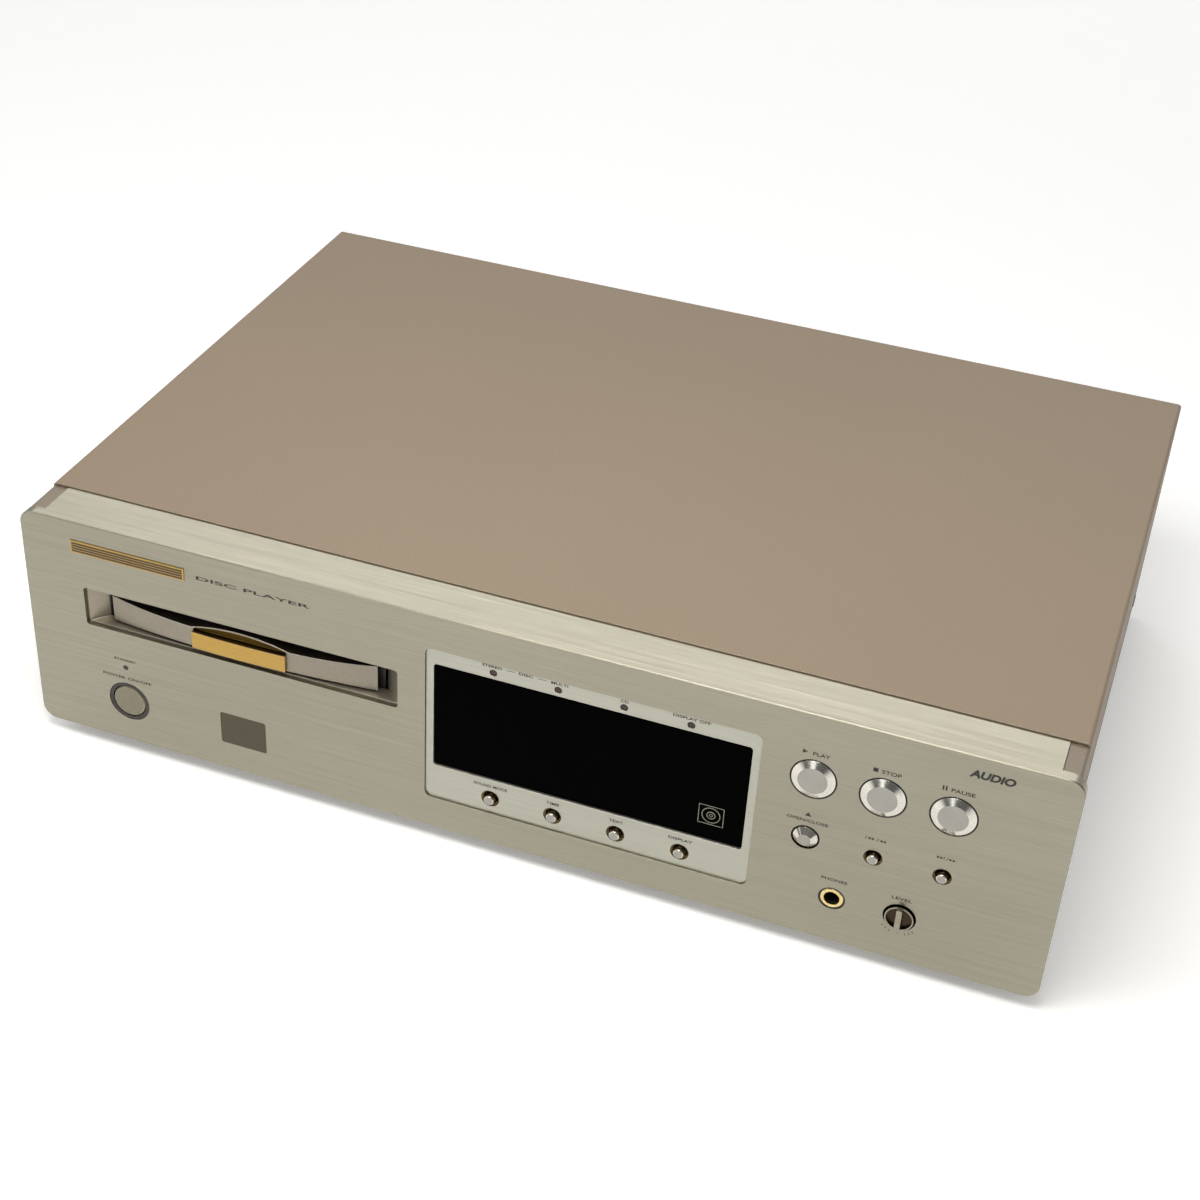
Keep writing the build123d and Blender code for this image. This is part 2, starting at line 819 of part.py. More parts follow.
def foot_places():
    """Centre and depth of the four feet."""
    x = case_half - foot_from_side
    return [(side * x, depth) for side in (-1, 1) for depth in (foot_from_front, body_depth - foot_from_rear)]


def make_feet():
    """Four round feet with a bevelled sole and a screw hole."""
    feet = []
    for x, depth in foot_places():
        bevel_top = foot_bevel - panel_lift
        sole = cone_z(x, depth, -panel_lift, bevel_top, foot_diameter - 2 * foot_sole_inset, foot_diameter)
        foot = sole + cylinder_z(x, depth, bevel_top, base_low, foot_diameter)
        bore = cylinder_z(
            x, depth, base_top - screw_length - screw_tip_gap, base_low, screw_diameter + 2 * seat_gap,
        )
        feet.append(foot - bore)
    return group(feet)


# ---------------------------------------------------------------- front pieces
def make_tray_bezel():
    """Funnel that lines the tray opening and narrows to the throat."""
    half = tray_opening_width / 2 - seat_gap
    low = tray_opening_low + seat_gap
    high = tray_opening_high - seat_gap
    radius = tray_opening_radius - seat_gap
    sleeve = slab(tray_x - half, tray_x + half, bezel_setback, panel_thickness, low, high, radius)
    flange = block(
        tray_x - half - bezel_lip, tray_x + half + bezel_lip, panel_thickness, bezel_rear,
        low - bezel_lip, high + bezel_lip,
    )
    mouth_width = 2 * (half - bezel_rim)
    mouth_height = high - low - 2 * bezel_rim
    throat_height = throat_high - throat_low
    mouth_plane = Plane(
        place(tray_x, bezel_setback, (low + high) / 2).position, x_dir=(1, 0, 0), z_dir=(0, 1, 0),
    )
    throat_plane = Plane(
        place(tray_x, bezel_rear, (throat_low + throat_high) / 2).position, x_dir=(1, 0, 0), z_dir=(0, 1, 0),
    )
    mouth = mouth_plane * Rectangle(mouth_width, mouth_height)
    throat = throat_plane * Rectangle(throat_width, throat_height)
    return sleeve + flange - loft([mouth, throat])


def front_face(points_face):
    """Turns a face drawn with x to the right and y up into one on the panel's face."""
    return Plane(place(0, 0, 0).position, x_dir=(1, 0, 0), z_dir=(0, -1, 0)) * points_face


def door_outline():
    """The door bar seen from the front: flat below, waisted above, with a crown in the middle."""
    left = tray_x - door_width / 2
    right = tray_x + door_width / 2
    waist_left = tray_x - door_waist_half
    waist_right = tray_x + door_waist_half
    base = Polyline((right, door_end_high), (right, door_low), (left, door_low), (left, door_end_high))
    mean_high = (door_end_high + door_waist_high) / 2 - waist_sag
    left_dip = ThreePointArc(
        (left, door_end_high), ((left + waist_left) / 2, mean_high), (waist_left, door_waist_high),
    )
    crown = ThreePointArc(
        (waist_left, door_waist_high), (tray_x, door_crown_high), (waist_right, door_waist_high),
    )
    right_dip = ThreePointArc(
        (waist_right, door_waist_high), ((right + waist_right) / 2, mean_high), (right, door_end_high),
    )
    return make_face([*base.edges(), left_dip, crown, right_dip])


def door_plan(front_shift, half_width, rear):
    """Plan of a bar with a bowed front, as a face at the height of the panel's lower edge."""
    edge_set = door_middle_set + (door_end_set - door_middle_set) * (half_width / (door_width / 2)) ** 2
    left = (tray_x - half_width, panel_face_y + edge_set + front_shift)
    right = (tray_x + half_width, panel_face_y + edge_set + front_shift)
    bow = ThreePointArc(left, (tray_x, panel_face_y + door_middle_set + front_shift), right)
    back = Polyline(right, (right[0], panel_face_y + rear), (left[0], panel_face_y + rear), left)
    return Pos(0, 0, panel_lift) * make_face([bow, *back.edges()])


def accent_body():
    """The gilt insert before its finger hollow is cut, as high as the underside of the door's crown."""
    lowered = Pos(0, 0, -accent_rim) * front_face(door_outline())
    outline = extrude(lowered, -accent_pocket)
    plan = extrude(door_plan(-accent_proud, accent_width / 2, accent_pocket), panel_height)
    proud = extrude(lowered, 2 * accent_proud)
    low_cut = block(
        tray_x - accent_width, tray_x + accent_width, -accent_front_room, accent_pocket,
        accent_low, panel_height,
    )
    return (outline + proud) & plan & low_cut


def finger_hollow():
    """Cutter for the hollow over the insert's flat face: open to the front and concave at its back."""
    half = accent_width / 2 + accent_hollow_end
    left = tray_x - half
    right = tray_x + half
    height = accent_face_high + accent_hollow_rise
    round_back = cylinder_x(0, height, left, right, 2 * accent_hollow_radius)
    room = block(left, right, -accent_front_room, 0, accent_face_high, panel_height)
    over_face = block(left, right, -accent_front_room, accent_pocket, accent_face_high, panel_height)
    return (round_back + room) & over_face


def make_tray_door():
    """Bowed bar that fronts the disc tray."""
    bar = extrude(front_face(door_outline()), -door_back) & extrude(
        door_plan(0, door_width / 2, door_back), panel_height,
    )
    plate = block(
        tray_x - throat_width / 2 + door_plate_gap, tray_x + throat_width / 2 - door_plate_gap,
        door_back - door_plate_thickness, door_back,
        throat_low + door_plate_gap, throat_high - door_plate_gap,
    )
    return bar - accent_body() + plate


def make_tray_accent():
    """Gilt insert with a finger hollow over its flat face."""
    return accent_body() - finger_hollow()


def make_display_bezel():
    """Plastic surround of the display with holes for keys and indicators, and board posts."""
    half = display_width / 2 - seat_gap
    low = display_low + seat_gap
    high = display_high - seat_gap
    radius = display_radius - seat_gap
    bezel = slab(display_x - half, display_x + half, display_set, panel_thickness, low, high, radius)
    bezel += block(
        display_x - half - display_lip, display_x + half + display_lip, panel_thickness, display_rear,
        low - display_lip, high + display_lip,
    )
    window_half = window_width / 2 + seat_gap
    bezel -= slab(
        display_x - window_half, display_x + window_half, display_set, window_set + window_thickness,
        window_low - seat_gap, window_high + seat_gap, window_radius,
    )
    bezel -= block(
        display_x - window_half + window_seat, display_x + window_half - window_seat,
        window_set, display_rear, window_low + window_seat, window_high - window_seat,
    )
    centres = [
        (display_x + side * (half - 4.5), height)
        for side in (-1, 1)
        for height in (low + 3.6, high - 3.6)
    ]
    bezel += posts(centres, display_rear, display_board_depth)
    for x in key_centres():
        bezel -= dished_hole(
            x, key_height, key_dish_diameter, key_diameter + 2 * key_gap, display_set, display_rear,
        )
        bezel -= cylinder_y(x, indicator_height, display_set, display_rear, indicator_diameter + 2 * seat_gap)
    return bezel


def make_display_window():
    """Dark window that fills the bezel's recess."""
    half = window_width / 2
    return slab(
        display_x - half, display_x + half, window_set, window_set + window_thickness,
        window_low, window_high, window_radius - seat_gap,
    )


def make_indicator_lenses():
    """Four light pipes from the bezel to the display board."""
    return group([
        cylinder_y(x, indicator_height, display_set + 0.5, display_board_depth, indicator_diameter)
        for x in key_centres()
    ])


def make_ir_window():
    """Flush window for the remote control's eye."""
    half = eye_width / 2 - seat_gap
    pane = slab(
        eye_x - half, eye_x + half, eye_set, panel_thickness, eye_low + seat_gap, eye_high - seat_gap,
        eye_radius - seat_gap,
    )
    return pane + block(
        eye_x - half - eye_lip, eye_x + half + eye_lip, panel_thickness, panel_thickness + eye_flange,
        eye_low - eye_lip, eye_high + eye_lip,
    )


def make_badge_plaque():
    """Plain plaque let into the panel."""
    half = badge_width / 2
    plaque = block(badge_x - half, badge_x + half, -badge_proud, badge_recess, badge_low, badge_high)
    return chamfer(plaque.faces().sort_by(Axis.Y)[0].edges(), badge_chamfer)


def make_standby_led():
    """Small lamp that shines through the panel."""
    collar_front = panel_thickness + lamp_collar_gap
    outer = lamp_diameter + 2 * lamp_collar
    lens = cylinder_y(lamp_x, lamp_height, lamp_set, collar_front, lamp_diameter)
    return lens + cylinder_y(lamp_x, lamp_height, collar_front, side_board_front, outer)


def make_power_ring():
    """Dark ring that guides the power button."""
    rear = panel_thickness + power_ring_flange
    outer = power_ring_diameter + 2 * power_collar
    ring = cylinder_y(
        power_x, power_height, power_ring_set, panel_thickness, power_ring_diameter - 2 * seat_gap,
    )
    ring += cylinder_y(power_x, power_height, panel_thickness, rear, outer)
    return ring - cylinder_y(power_x, power_height, power_ring_set, rear, power_diameter + 2 * button_gap)


def make_power_button():
    """Flush round power button with a collar and a push rod."""
    collar_front = panel_thickness + power_ring_flange + stop_gap
    collar_rear = collar_front + collar_thickness
    button = cylinder_y(power_x, power_height, 0, collar_front, power_diameter)
    button = chamfer(button.faces().sort_by(Axis.Y)[0].edges(), power_chamfer)
    collar_diameter = power_diameter + 2 * power_collar
    button += cylinder_y(power_x, power_height, collar_front, collar_rear, collar_diameter)
    rear = side_board_front - power_switch_thickness - power_travel - button_gap
    return button + cylinder_y(power_x, power_height, collar_rear, rear, power_rod_diameter)


def bevelled_button(x, height, diameter, flat_diameter, proud):
    """Round button with a wide bevel, a collar behind the panel and a plunger to its switch."""
    collar_front = panel_thickness + stop_gap
    cap = cone_y(x, height, -proud, 0, flat_diameter, diameter)
    cap += cylinder_y(x, height, 0, collar_front, diameter)
    collar_rear = collar_front + collar_thickness
    cap += cylinder_y(x, height, collar_front, collar_rear, diameter + 2 * button_collar)
    return cap + cylinder_y(x, height, collar_rear, stem_end, button_rod_diameter)


def pin_button(x, height, diameter, face, proud, back, rear):
    """Small round pin with a domed edge, a collar behind the wall and a plunger."""
    pin = cylinder_y(x, height, face - proud, back + stop_gap, diameter)
    pin = fillet(pin.faces().sort_by(Axis.Y)[0].edges(), pin_round)
    collar_rear = back + stop_gap + pin_collar_thickness
    pin += cylinder_y(x, height, back + stop_gap, collar_rear, diameter + 2 * pin_collar)
    return pin + cylinder_y(x, height, collar_rear, rear, pin_rod_diameter)


def make_phones_jack():
    """Headphone jack: a barrel through the panel and a body behind it."""
    jack = cylinder_y(phones_x, phones_height, phones_set, panel_thickness, phones_barrel_diameter)
    jack += block(
        phones_x - phones_body_half_width, phones_x + phones_body_half_width,
        panel_thickness, phones_bore_depth + phones_body_wall,
        phones_height - phones_body_half_height, phones_height + phones_body_half_height,
    )
    jack -= cylinder_y(phones_x, phones_height, phones_set, phones_ring_depth, phones_ring_diameter)
    return jack - cylinder_y(phones_x, phones_height, phones_set, phones_bore_depth, phones_bore_diameter)


def make_phones_ring():
    """Gilt ring at the jack's mouth."""
    ring = cylinder_y(phones_x, phones_height, 0, phones_ring_depth, phones_ring_diameter)
    ring -= cylinder_y(phones_x, phones_height, 0, phones_ring_depth, phones_bore_diameter)
    return chamfer(ring.faces().sort_by(Axis.Y)[0].edges().sort_by(Edge.length)[-1], phones_ring_chamfer)


def make_level_knob():
    """Cupped knob with a raised blade across its face, and its shaft."""
    rear = panel_thickness - level_back_set
    knob = cylinder_y(level_x, phones_height, level_knob_set, rear, level_knob_diameter)
    knob -= cylinder_y(
        level_x, phones_height, level_knob_set, level_knob_set + level_cup_depth,
        level_knob_diameter - 2 * level_rim,
    )
    blade = block(
        level_x - level_blade_width / 2, level_x + level_blade_width / 2, -knob_proud,
        level_knob_set + level_cup_depth, phones_height - level_knob_diameter / 2,
        phones_height + level_knob_diameter / 2,
    )
    blade = blade & cylinder_y(level_x, phones_height, -knob_proud, panel_thickness, level_knob_diameter)
    shaft_end = side_board_front - level_shaft_gap
    return knob + blade + cylinder_y(level_x, phones_height, rear, shaft_end, level_shaft_diameter)


# ---------------------------------------------------------------- boards
def make_control_board():
    """Board behind the right-hand controls, notched round the headphone jack."""
    left, right = control_board_span()
    board = block(
        left, right, side_board_front, side_board_front + board_thickness,
        control_board_low, control_board_high,
    )
    notch_half_width = phones_body_half_width + phones_notch_gap
    notch_half_height = phones_body_half_height + phones_notch_gap
    return board - block(
        phones_x - notch_half_width, phones_x + notch_half_width,
        side_board_front, side_board_front + board_thickness,
        phones_height - notch_half_height, phones_height + notch_half_height,
    )


def make_power_board():
    """Board behind the power button, the lamp and the infrared eye."""
    left, right = power_board_span()
    return block(
        left, right, side_board_front, side_board_front + board_thickness, power_board_low, power_board_high,
    )


def make_display_board():
    """Board that carries the display tube and the four keys' switches."""
    half = display_width / 2 + 1.0
    return block(
        display_x - half, display_x + half, display_board_depth, display_board_depth + board_thickness,
        display_low - 1.0, display_high + 1.0,
    )


def switch(x, height, board_front):
    """Push switch on a board: square body and round plunger."""
    body_front = board_front - switch_height
    half = switch_size / 2
    body = block(x - half, x + half, body_front, board_front, height - half, height + half)
    return body + cylinder_y(x, height, body_front - plunger_height, body_front, plunger_diameter)


def make_front_switches():
    """Push switches, the level control, the mains switch and the infrared receiver."""
    parts = [switch(x, play_height, side_board_front) for x in play_centres()]
    parts.append(switch(play_x, open_height, side_board_front))
    parts += [switch(x, skip_height, side_board_front) for x in skip_centres()]
    parts += [switch(x, key_height, display_board_depth) for x in key_centres()]
    bush_front = panel_thickness + level_bush_gap
    bush = block(
        level_x - level_bush_half, level_x + level_bush_half, bush_front, side_board_front,
        phones_height - level_bush_half, phones_height + level_bush_half,
    )
    parts.append(bush - cylinder_y(
        level_x, phones_height, bush_front, side_board_front - level_bush_base,
        level_shaft_diameter + 2 * shaft_gap,
    ))
    parts.append(block(
        power_x - power_switch_half, power_x + power_switch_half,
        side_board_front - power_switch_thickness, side_board_front,
        power_height - power_switch_half, power_height + power_switch_half,
    ))
    eye_middle = (eye_low + eye_high) / 2
    parts.append(block(
        eye_x - receiver_half, eye_x + receiver_half, side_board_front - receiver_thickness, side_board_front,
        eye_middle - receiver_half, eye_middle + receiver_half,
    ))
    return group(parts)


def make_display_tube():
    """Flat glass display tube standing on its board."""
    middle = (window_low + window_high) / 2
    return slab(
        display_x - tube_width / 2, display_x + tube_width / 2, tube_front, display_board_depth,
        middle - tube_height / 2, middle + tube_height / 2, 1.5,
    )


def make_main_board():
    """Main circuit board on its posts."""
    return block(
        main_board_left, case_half - board_side_margin, main_board_front, main_board_rear,
        main_board_low, main_board_low + board_thickness,
    )


def make_board_capacitors():
    """Upright capacitors on the main board."""
    low = main_board_low + board_thickness
    cans = []
    for from_left, from_rear, count, spacing, size, tall in capacitor_rows:
        for index in range(count):
            x = main_board_left + from_left + spacing * index
            cans.append(cylinder_z(x, main_board_rear - from_rear, low, low + tall, size))
    return group(cans)


# ---------------------------------------------------------------- loader
def make_disc_tray():
    """Tray with its disc wells, a slot open to the rear, side skirts and the drive rack."""
    left = tray_x - tray_half
    right = tray_x + tray_half
    tray = block(left, right, door_back, tray_rear, tray_floor_low, tray_rim_high)
    for skirt_left in (left, right - tray_skirt_width):
        tray += block(
            skirt_left, skirt_left + tray_skirt_width, door_back, tray_rear, tray_skirt_low, tray_floor_low,
        )
    rack_front = gear_depth - rack_lead
    tray += block(
        tray_x + rack_edge, tray_x + rack_edge + rack_back_width, rack_front, tray_rear - rack_rear_gap,
        rack_low, tray_floor_low,
    )
    tray += rack(
        rack_module, tray_x + rack_pitch_x, 1, rack_front, tray_rear - rack_rear_gap,
        rack_low, tray_floor_low, gear_depth,
    )
    tray -= cylinder_z(tray_x, spindle_depth, disc_well_floor, tray_rim_high, well_diameter)
    tray -= cylinder_z(tray_x, spindle_depth, small_well_floor, tray_rim_high, small_well_diameter)
    tray -= cylinder_z(tray_x, spindle_depth, tray_floor_low, tray_rim_high, tray_slot_width)
    return tray - block(
        tray_x - tray_slot_width / 2, tray_x + tray_slot_width / 2, spindle_depth, tray_rear,
        tray_floor_low, tray_rim_high,
    )


def make_loader_frame():
    """Plastic frame that guides the tray and holds the gears, on four legs."""
    inner = ledge_inner
    wall_outer = inner + 2.5
    frame = block(
        tray_x - wall_outer, tray_x + wall_outer, loader_front, loader_rear,
        loader_floor_low, loader_floor_high,
    )
    for side in (-1, 1):
        def part(near, far, front, rear, low, high):
            edges = sorted((tray_x + side * near, tray_x + side * far))
            return block(edges[0], edges[1], front, rear, low, high)
        ledge_low = ledge_top - ledge_thickness
        frame += part(inner, wall_outer, loader_front, loader_rear, loader_floor_high, ledge_low)
        frame += part(inner, loader_outer, loader_front, loader_rear, ledge_low, ledge_top)
        frame += part(loader_inner, loader_outer, loader_front, loader_rear, ledge_top, loader_top)
        for front in (loader_front, spindle_depth + keeper_setback):
            keeper_low = tray_rim_high + keeper_gap
            frame += part(
                loader_inner - keeper_reach, loader_inner, front, front + keeper_length,
                keeper_low, keeper_low + keeper_thickness,
            )
    frame += block(
        tray_x - inner, tray_x + inner, loader_rear - loader_rear_wall, loader_rear,
        loader_floor_high, ledge_top,
    )
    frame -= block(
        tray_x - loader_window_half, tray_x + loader_window_half,
        traverse_front + loader_window_front, traverse_rear - loader_window_rear,
        loader_floor_low, loader_floor_high,
    )
    frame -= cylinder_z(
        tray_x + feed_gear_x, feed_depth, loader_floor_low, loader_floor_high, feed_motor_diameter + 3.0,
    )
    frame -= cylinder_z(
        tray_x + motor_x, gear_depth, loader_floor_low, loader_floor_high, motor_shaft_diameter + 4.0,
    )
    frame += cylinder_z(
        tray_x + tray_gear_x, gear_depth, loader_floor_high, pinion_high - 1.0, gear_pin_diameter,
    )
    frame += cylinder_z(
        tray_x + tray_gear_x, gear_depth, loader_floor_high, big_gear_low - stop_gap, gear_hub_diameter,
    )
    frame += cylinder_z(
        tray_x + pulley_gear_x, gear_depth, loader_floor_high, big_gear_high, gear_pin_diameter,
    )
    frame += [
        cylinder_z(tray_x + x, depth, base_top, loader_floor_low, loader_leg_diameter)
        for x in (loader_leg_inset - inner, inner - loader_leg_inset)
        for depth in (loader_front + loader_leg_front, loader_rear - loader_leg_rear)
    ]
    return frame


def make_tray_gear():
    """Stepped gear: a wheel below and the pinion that drives the rack above."""
    wheel = place(tray_x + tray_gear_x, gear_depth, big_gear_low) * gear(
        gear_module, big_gear_teeth, big_gear_high - big_gear_low,
    )
    pinion = place(tray_x + tray_gear_x, gear_depth, big_gear_high) * gear(
        rack_module, pinion_teeth, pinion_high - big_gear_high,
    )
    bore = gear_pin_diameter + 2 * shaft_gap
    return wheel + pinion - cylinder_z(tray_x + tray_gear_x, gear_depth, big_gear_low, pinion_high, bore)


def pulley(x, diameter, rim):
    """Flat pulley with a rim above and below the belt."""
    middle = (pulley_low + pulley_high) / 2
    half = belt_height / 2 + 0.3
    wheel = cylinder_z(x, gear_depth, pulley_low, pulley_high, diameter)
    wheel += cylinder_z(x, gear_depth, pulley_low, middle - half, diameter + 2 * rim)
    return wheel + cylinder_z(x, gear_depth, middle + half, pulley_high, diameter + 2 * rim)


def make_pulley_gear():
    """Belt pulley with the small gear on top that drives the stepped gear."""
    x = tray_x + pulley_gear_x
    wheel = pulley(x, pulley_diameter, pulley_rim)
    gear_low = big_gear_low - gear_hub_lap
    wheel += cylinder_z(x, gear_depth, pulley_high, gear_low, gear_hub_diameter)
    wheel += place(x, gear_depth, gear_low) * gear(
        gear_module, small_gear_teeth, big_gear_high - gear_low,
    )
    return wheel - cylinder_z(x, gear_depth, pulley_low, big_gear_high, gear_pin_diameter + 2 * shaft_gap)


def make_motor_pulley():
    """Motor pulley and the motor's shaft."""
    x = tray_x + motor_x
    wheel = pulley(x, motor_pulley_diameter, 1.0)
    shaft_low = loader_floor_low - loading_motor_length + motor_wall + motor_base_gap
    return wheel + cylinder_z(x, gear_depth, shaft_low, pulley_low, motor_shaft_diameter)


def belt_area(growth):
    """The area inside a line round both pulleys, a given distance out from their rims."""
    big = pulley_diameter / 2 + growth
    small = motor_pulley_diameter / 2 + growth
    lean = (big - small) / motor_spacing
    rise = math.sqrt(1 - lean * lean)
    corners = [
        (big * lean, big * rise),
        (motor_spacing + small * lean, small * rise),
        (motor_spacing + small * lean, -small * rise),
        (big * lean, -big * rise),
    ]
    return make_face(Polyline(*corners, close=True)) + Circle(big) + Pos(motor_spacing, 0) * Circle(small)


def make_drive_belt():
    """Square rubber belt round the two pulleys."""
    ring = belt_area(shaft_gap + belt_thickness) - belt_area(shaft_gap)
    middle = (pulley_low + pulley_high) / 2
    low = middle - belt_height / 2
    return place(tray_x + pulley_gear_x, gear_depth, low) * extrude(ring, belt_height)


def motor_can(x, depth, top, length, diameter, bore):
    """Small motor can with a bore for its shaft."""
    can = cylinder_z(x, depth, top - length, top, diameter)
    can = fillet(can.faces().sort_by(Axis.Z)[0].edges(), motor_edge_radius)
    return can - cylinder_z(x, depth, top - length + motor_wall, top, bore)


def make_loading_motor():
    """Motor under the loader's floor."""
    return motor_can(
        tray_x + motor_x, gear_depth, loader_floor_low, loading_motor_length, loading_motor_diameter,
        motor_shaft_diameter + 2 * shaft_gap,
    )


def make_clamp_bridge():
    """Steel bridge over the tray that holds the clamp puck."""
    front = spindle_depth - bridge_length / 2
    rear = spindle_depth + bridge_length / 2
    top = bridge_low + bridge_thickness
    bridge = block(tray_x - loader_outer, tray_x + loader_outer, front, rear, bridge_low, top)
    for side in (-1, 1):
        edges = sorted((tray_x + side * loader_outer, tray_x + side * (loader_outer - bridge_thickness)))
        bridge += block(edges[0], edges[1], front, rear, loader_top, bridge_low)
    return bridge - cylinder_z(tray_x, spindle_depth, bridge_low, top, puck_neck_diameter + 2 * puck_neck_gap)


def make_clamp_puck():
    """Puck that hangs in the bridge by its upper flange."""
    top = bridge_low + bridge_thickness + stop_gap
    puck = cylinder_z(tray_x, spindle_depth, puck_low, puck_low + puck_thickness, puck_diameter)
    puck += cylinder_z(tray_x, spindle_depth, puck_low + puck_thickness, top, puck_neck_diameter)
    cap_diameter = puck_neck_diameter + 2 * puck_cap_lip
    puck += cylinder_z(tray_x, spindle_depth, top, top + puck_cap_thickness, cap_diameter)
    recess_diameter = hub_diameter + 2 * puck_recess
    return puck - cylinder_z(tray_x, spindle_depth, puck_low, puck_low + puck_recess, recess_diameter)


# ---------------------------------------------------------------- traverse
def make_traverse_plate():
    """Steel plate with rod holders and the feed gear's pin."""
    plate = block(
        tray_x - traverse_half_width, tray_x + traverse_half_width, traverse_front, traverse_rear,
        traverse_low, traverse_top,
    )
    plate -= block(
        tray_x - sled_slot_half_width, tray_x + sled_slot_half_width,
        spindle_depth + sled_slot_front, traverse_rear - sled_slot_rear, traverse_low, traverse_top,
    )
    hole_diameter = motor_shaft_diameter + 2 * shaft_hole_gap
    plate -= cylinder_z(tray_x, spindle_depth, traverse_low, traverse_top, hole_diameter)
    for side in (-1, 1):
        x = tray_x + side * rod_x
        for front in (rod_start, rod_end - rod_holder_length):
            holder = block(
                x - rod_holder_width / 2, x + rod_holder_width / 2, front, front + rod_holder_length,
                traverse_top, rod_height + rod_diameter,
            )
            plate += holder
        plate -= cylinder_y(x, rod_height, rod_start, rod_end, rod_diameter + 2 * shaft_gap)
    return plate + cylinder_z(
        tray_x + feed_gear_x, feed_depth, traverse_top, feed_gear_high + 1.0, motor_shaft_diameter,
    )


def make_traverse_dampers():
    """Rubber dampers between the loader's floor and the traverse."""
    return group([
        cylinder_z(tray_x + side * damper_x, depth, loader_floor_high, traverse_low, damper_diameter)
        for side in (-1, 1)
        for depth in (traverse_front + damper_inset, traverse_rear - damper_inset)
    ])


def make_spindle_motor():
    """Flat motor that hangs under the traverse and turns the turntable."""
    return motor_can(
        tray_x, spindle_depth, traverse_low, spindle_motor_length, spindle_motor_diameter,
        motor_shaft_diameter + 2 * shaft_gap,
    )


def make_turntable():
    """Turntable with its centring cone, hub and shaft."""
    flange_low = turntable_top - turntable_thickness
    table = cylinder_z(tray_x, spindle_depth, flange_low, turntable_top, turntable_diameter)
    table += cone_z(
        tray_x, spindle_depth, turntable_top, turntable_top + hub_height,
        hub_diameter, hub_diameter - 2 * hub_wall,
    )
    shank_low = traverse_top + spindle_motor_gap
    shaft_low = traverse_low - spindle_motor_length + motor_wall + 2 * motor_base_gap
    table += cylinder_z(tray_x, spindle_depth, shank_low, flange_low, turntable_shank_diameter)
    return table + cylinder_z(tray_x, spindle_depth, shaft_low, shank_low, motor_shaft_diameter)


def make_guide_rods():
    """Two polished rods that the pickup sled slides on."""
    return group([
        cylinder_y(tray_x + side * rod_x, rod_height, rod_start, rod_end, rod_diameter) for side in (-1, 1)
    ])


def lens_depth():
    """Depth of the lens with the sled at its inner end."""
    return spindle_depth + lens_offset


def make_pickup_sled():
    """Sled with rod bores, a pocket for the lens and the feed rack on its side."""
    rear = sled_front + sled_length
    sled = block(
        tray_x - sled_half_width, tray_x + sled_half_width, sled_front, rear, sled_low, sled_high,
    )
    for side in (-1, 1):
        sled -= cylinder_y(
            tray_x + side * rod_x, rod_height, sled_front, rear, rod_diameter + 2 * shaft_gap,
        )
    sled -= block(
        tray_x - sled_pocket_half_width, tray_x + sled_pocket_half_width,
        lens_depth() - sled_pocket_front, lens_depth() + sled_pocket_rear,
        sled_low + sled_pocket_floor, sled_high,
    )
    rack_front = feed_depth - sled_travel - feed_rack_margin
    rack_rear = feed_depth + feed_rack_half
    sled += block(
        tray_x + feed_rack_edge, tray_x - sled_half_width, rack_front, rack_rear,
        feed_gear_low, feed_gear_high,
    )
    return sled + rack(
        gear_module, tray_x + feed_rack_edge - tooth_root * gear_module, -1, rack_front, rack_rear,
        feed_gear_low, feed_gear_high, feed_depth,
    )


def make_objective_lens():
    """Lens holder that floats in the sled's pocket."""
    holder_half = sled_pocket_half_width - holder_side_gap
    holder_top = sled_high - holder_gap
    holder = block(
        tray_x - holder_half, tray_x + holder_half,
        lens_depth() - sled_pocket_front + holder_gap, lens_depth() + sled_pocket_rear - holder_gap,
        sled_low + sled_pocket_floor + holder_gap, holder_top,
    )
    tip_high = lens_top - lens_floor_gap
    tip_low = tip_high - lens_tip_height
    holder += cylinder_z(tray_x, lens_depth(), holder_top, tip_low, lens_barrel_diameter)
    return holder + cone_z(
        tray_x, lens_depth(), tip_low, tip_high, lens_barrel_diameter, lens_tip_diameter,
    )


def make_feed_gear():
    """Gear that drives the sled's rack."""
    wheel = place(tray_x + feed_gear_x, feed_depth, feed_gear_low) * gear(
        gear_module, small_gear_teeth, feed_gear_high - feed_gear_low,
    )
    bore = motor_shaft_diameter + 2 * shaft_gap
    return wheel - cylinder_z(tray_x + feed_gear_x, feed_depth, feed_gear_low, feed_gear_high, bore)


def make_feed_motor():
    """Small motor under the traverse, below the feed gear."""
    x = tray_x + feed_gear_x
    can = cylinder_z(x, feed_depth, traverse_low - feed_motor_length, traverse_low, feed_motor_diameter)
    return fillet(can.faces().sort_by(Axis.Z)[0].edges(), 0.8)


# ---------------------------------------------------------------- rear and power
def make_socket_blocks():
    """Plastic bodies of the rear sockets; the narrow one is the optical output."""
    low, high = socket_block_heights()
    front = rear_inside - socket_block_depth
    rear = body_depth + socket_face_proud
    return group([block(left, right, front, rear, low, high) for left, right in socket_blocks_spans()])


def make_socket_barrels():
    """Metal barrels of the rear sockets."""
    front = body_depth + socket_face_proud
    rear = body_depth + socket_proud
    return group([
        cylinder_y(x, socket_height, front, rear, socket_diameter)
        - cylinder_y(x, socket_height, front + barrel_base, rear, socket_bore_diameter)
        for x in socket_places()
    ])


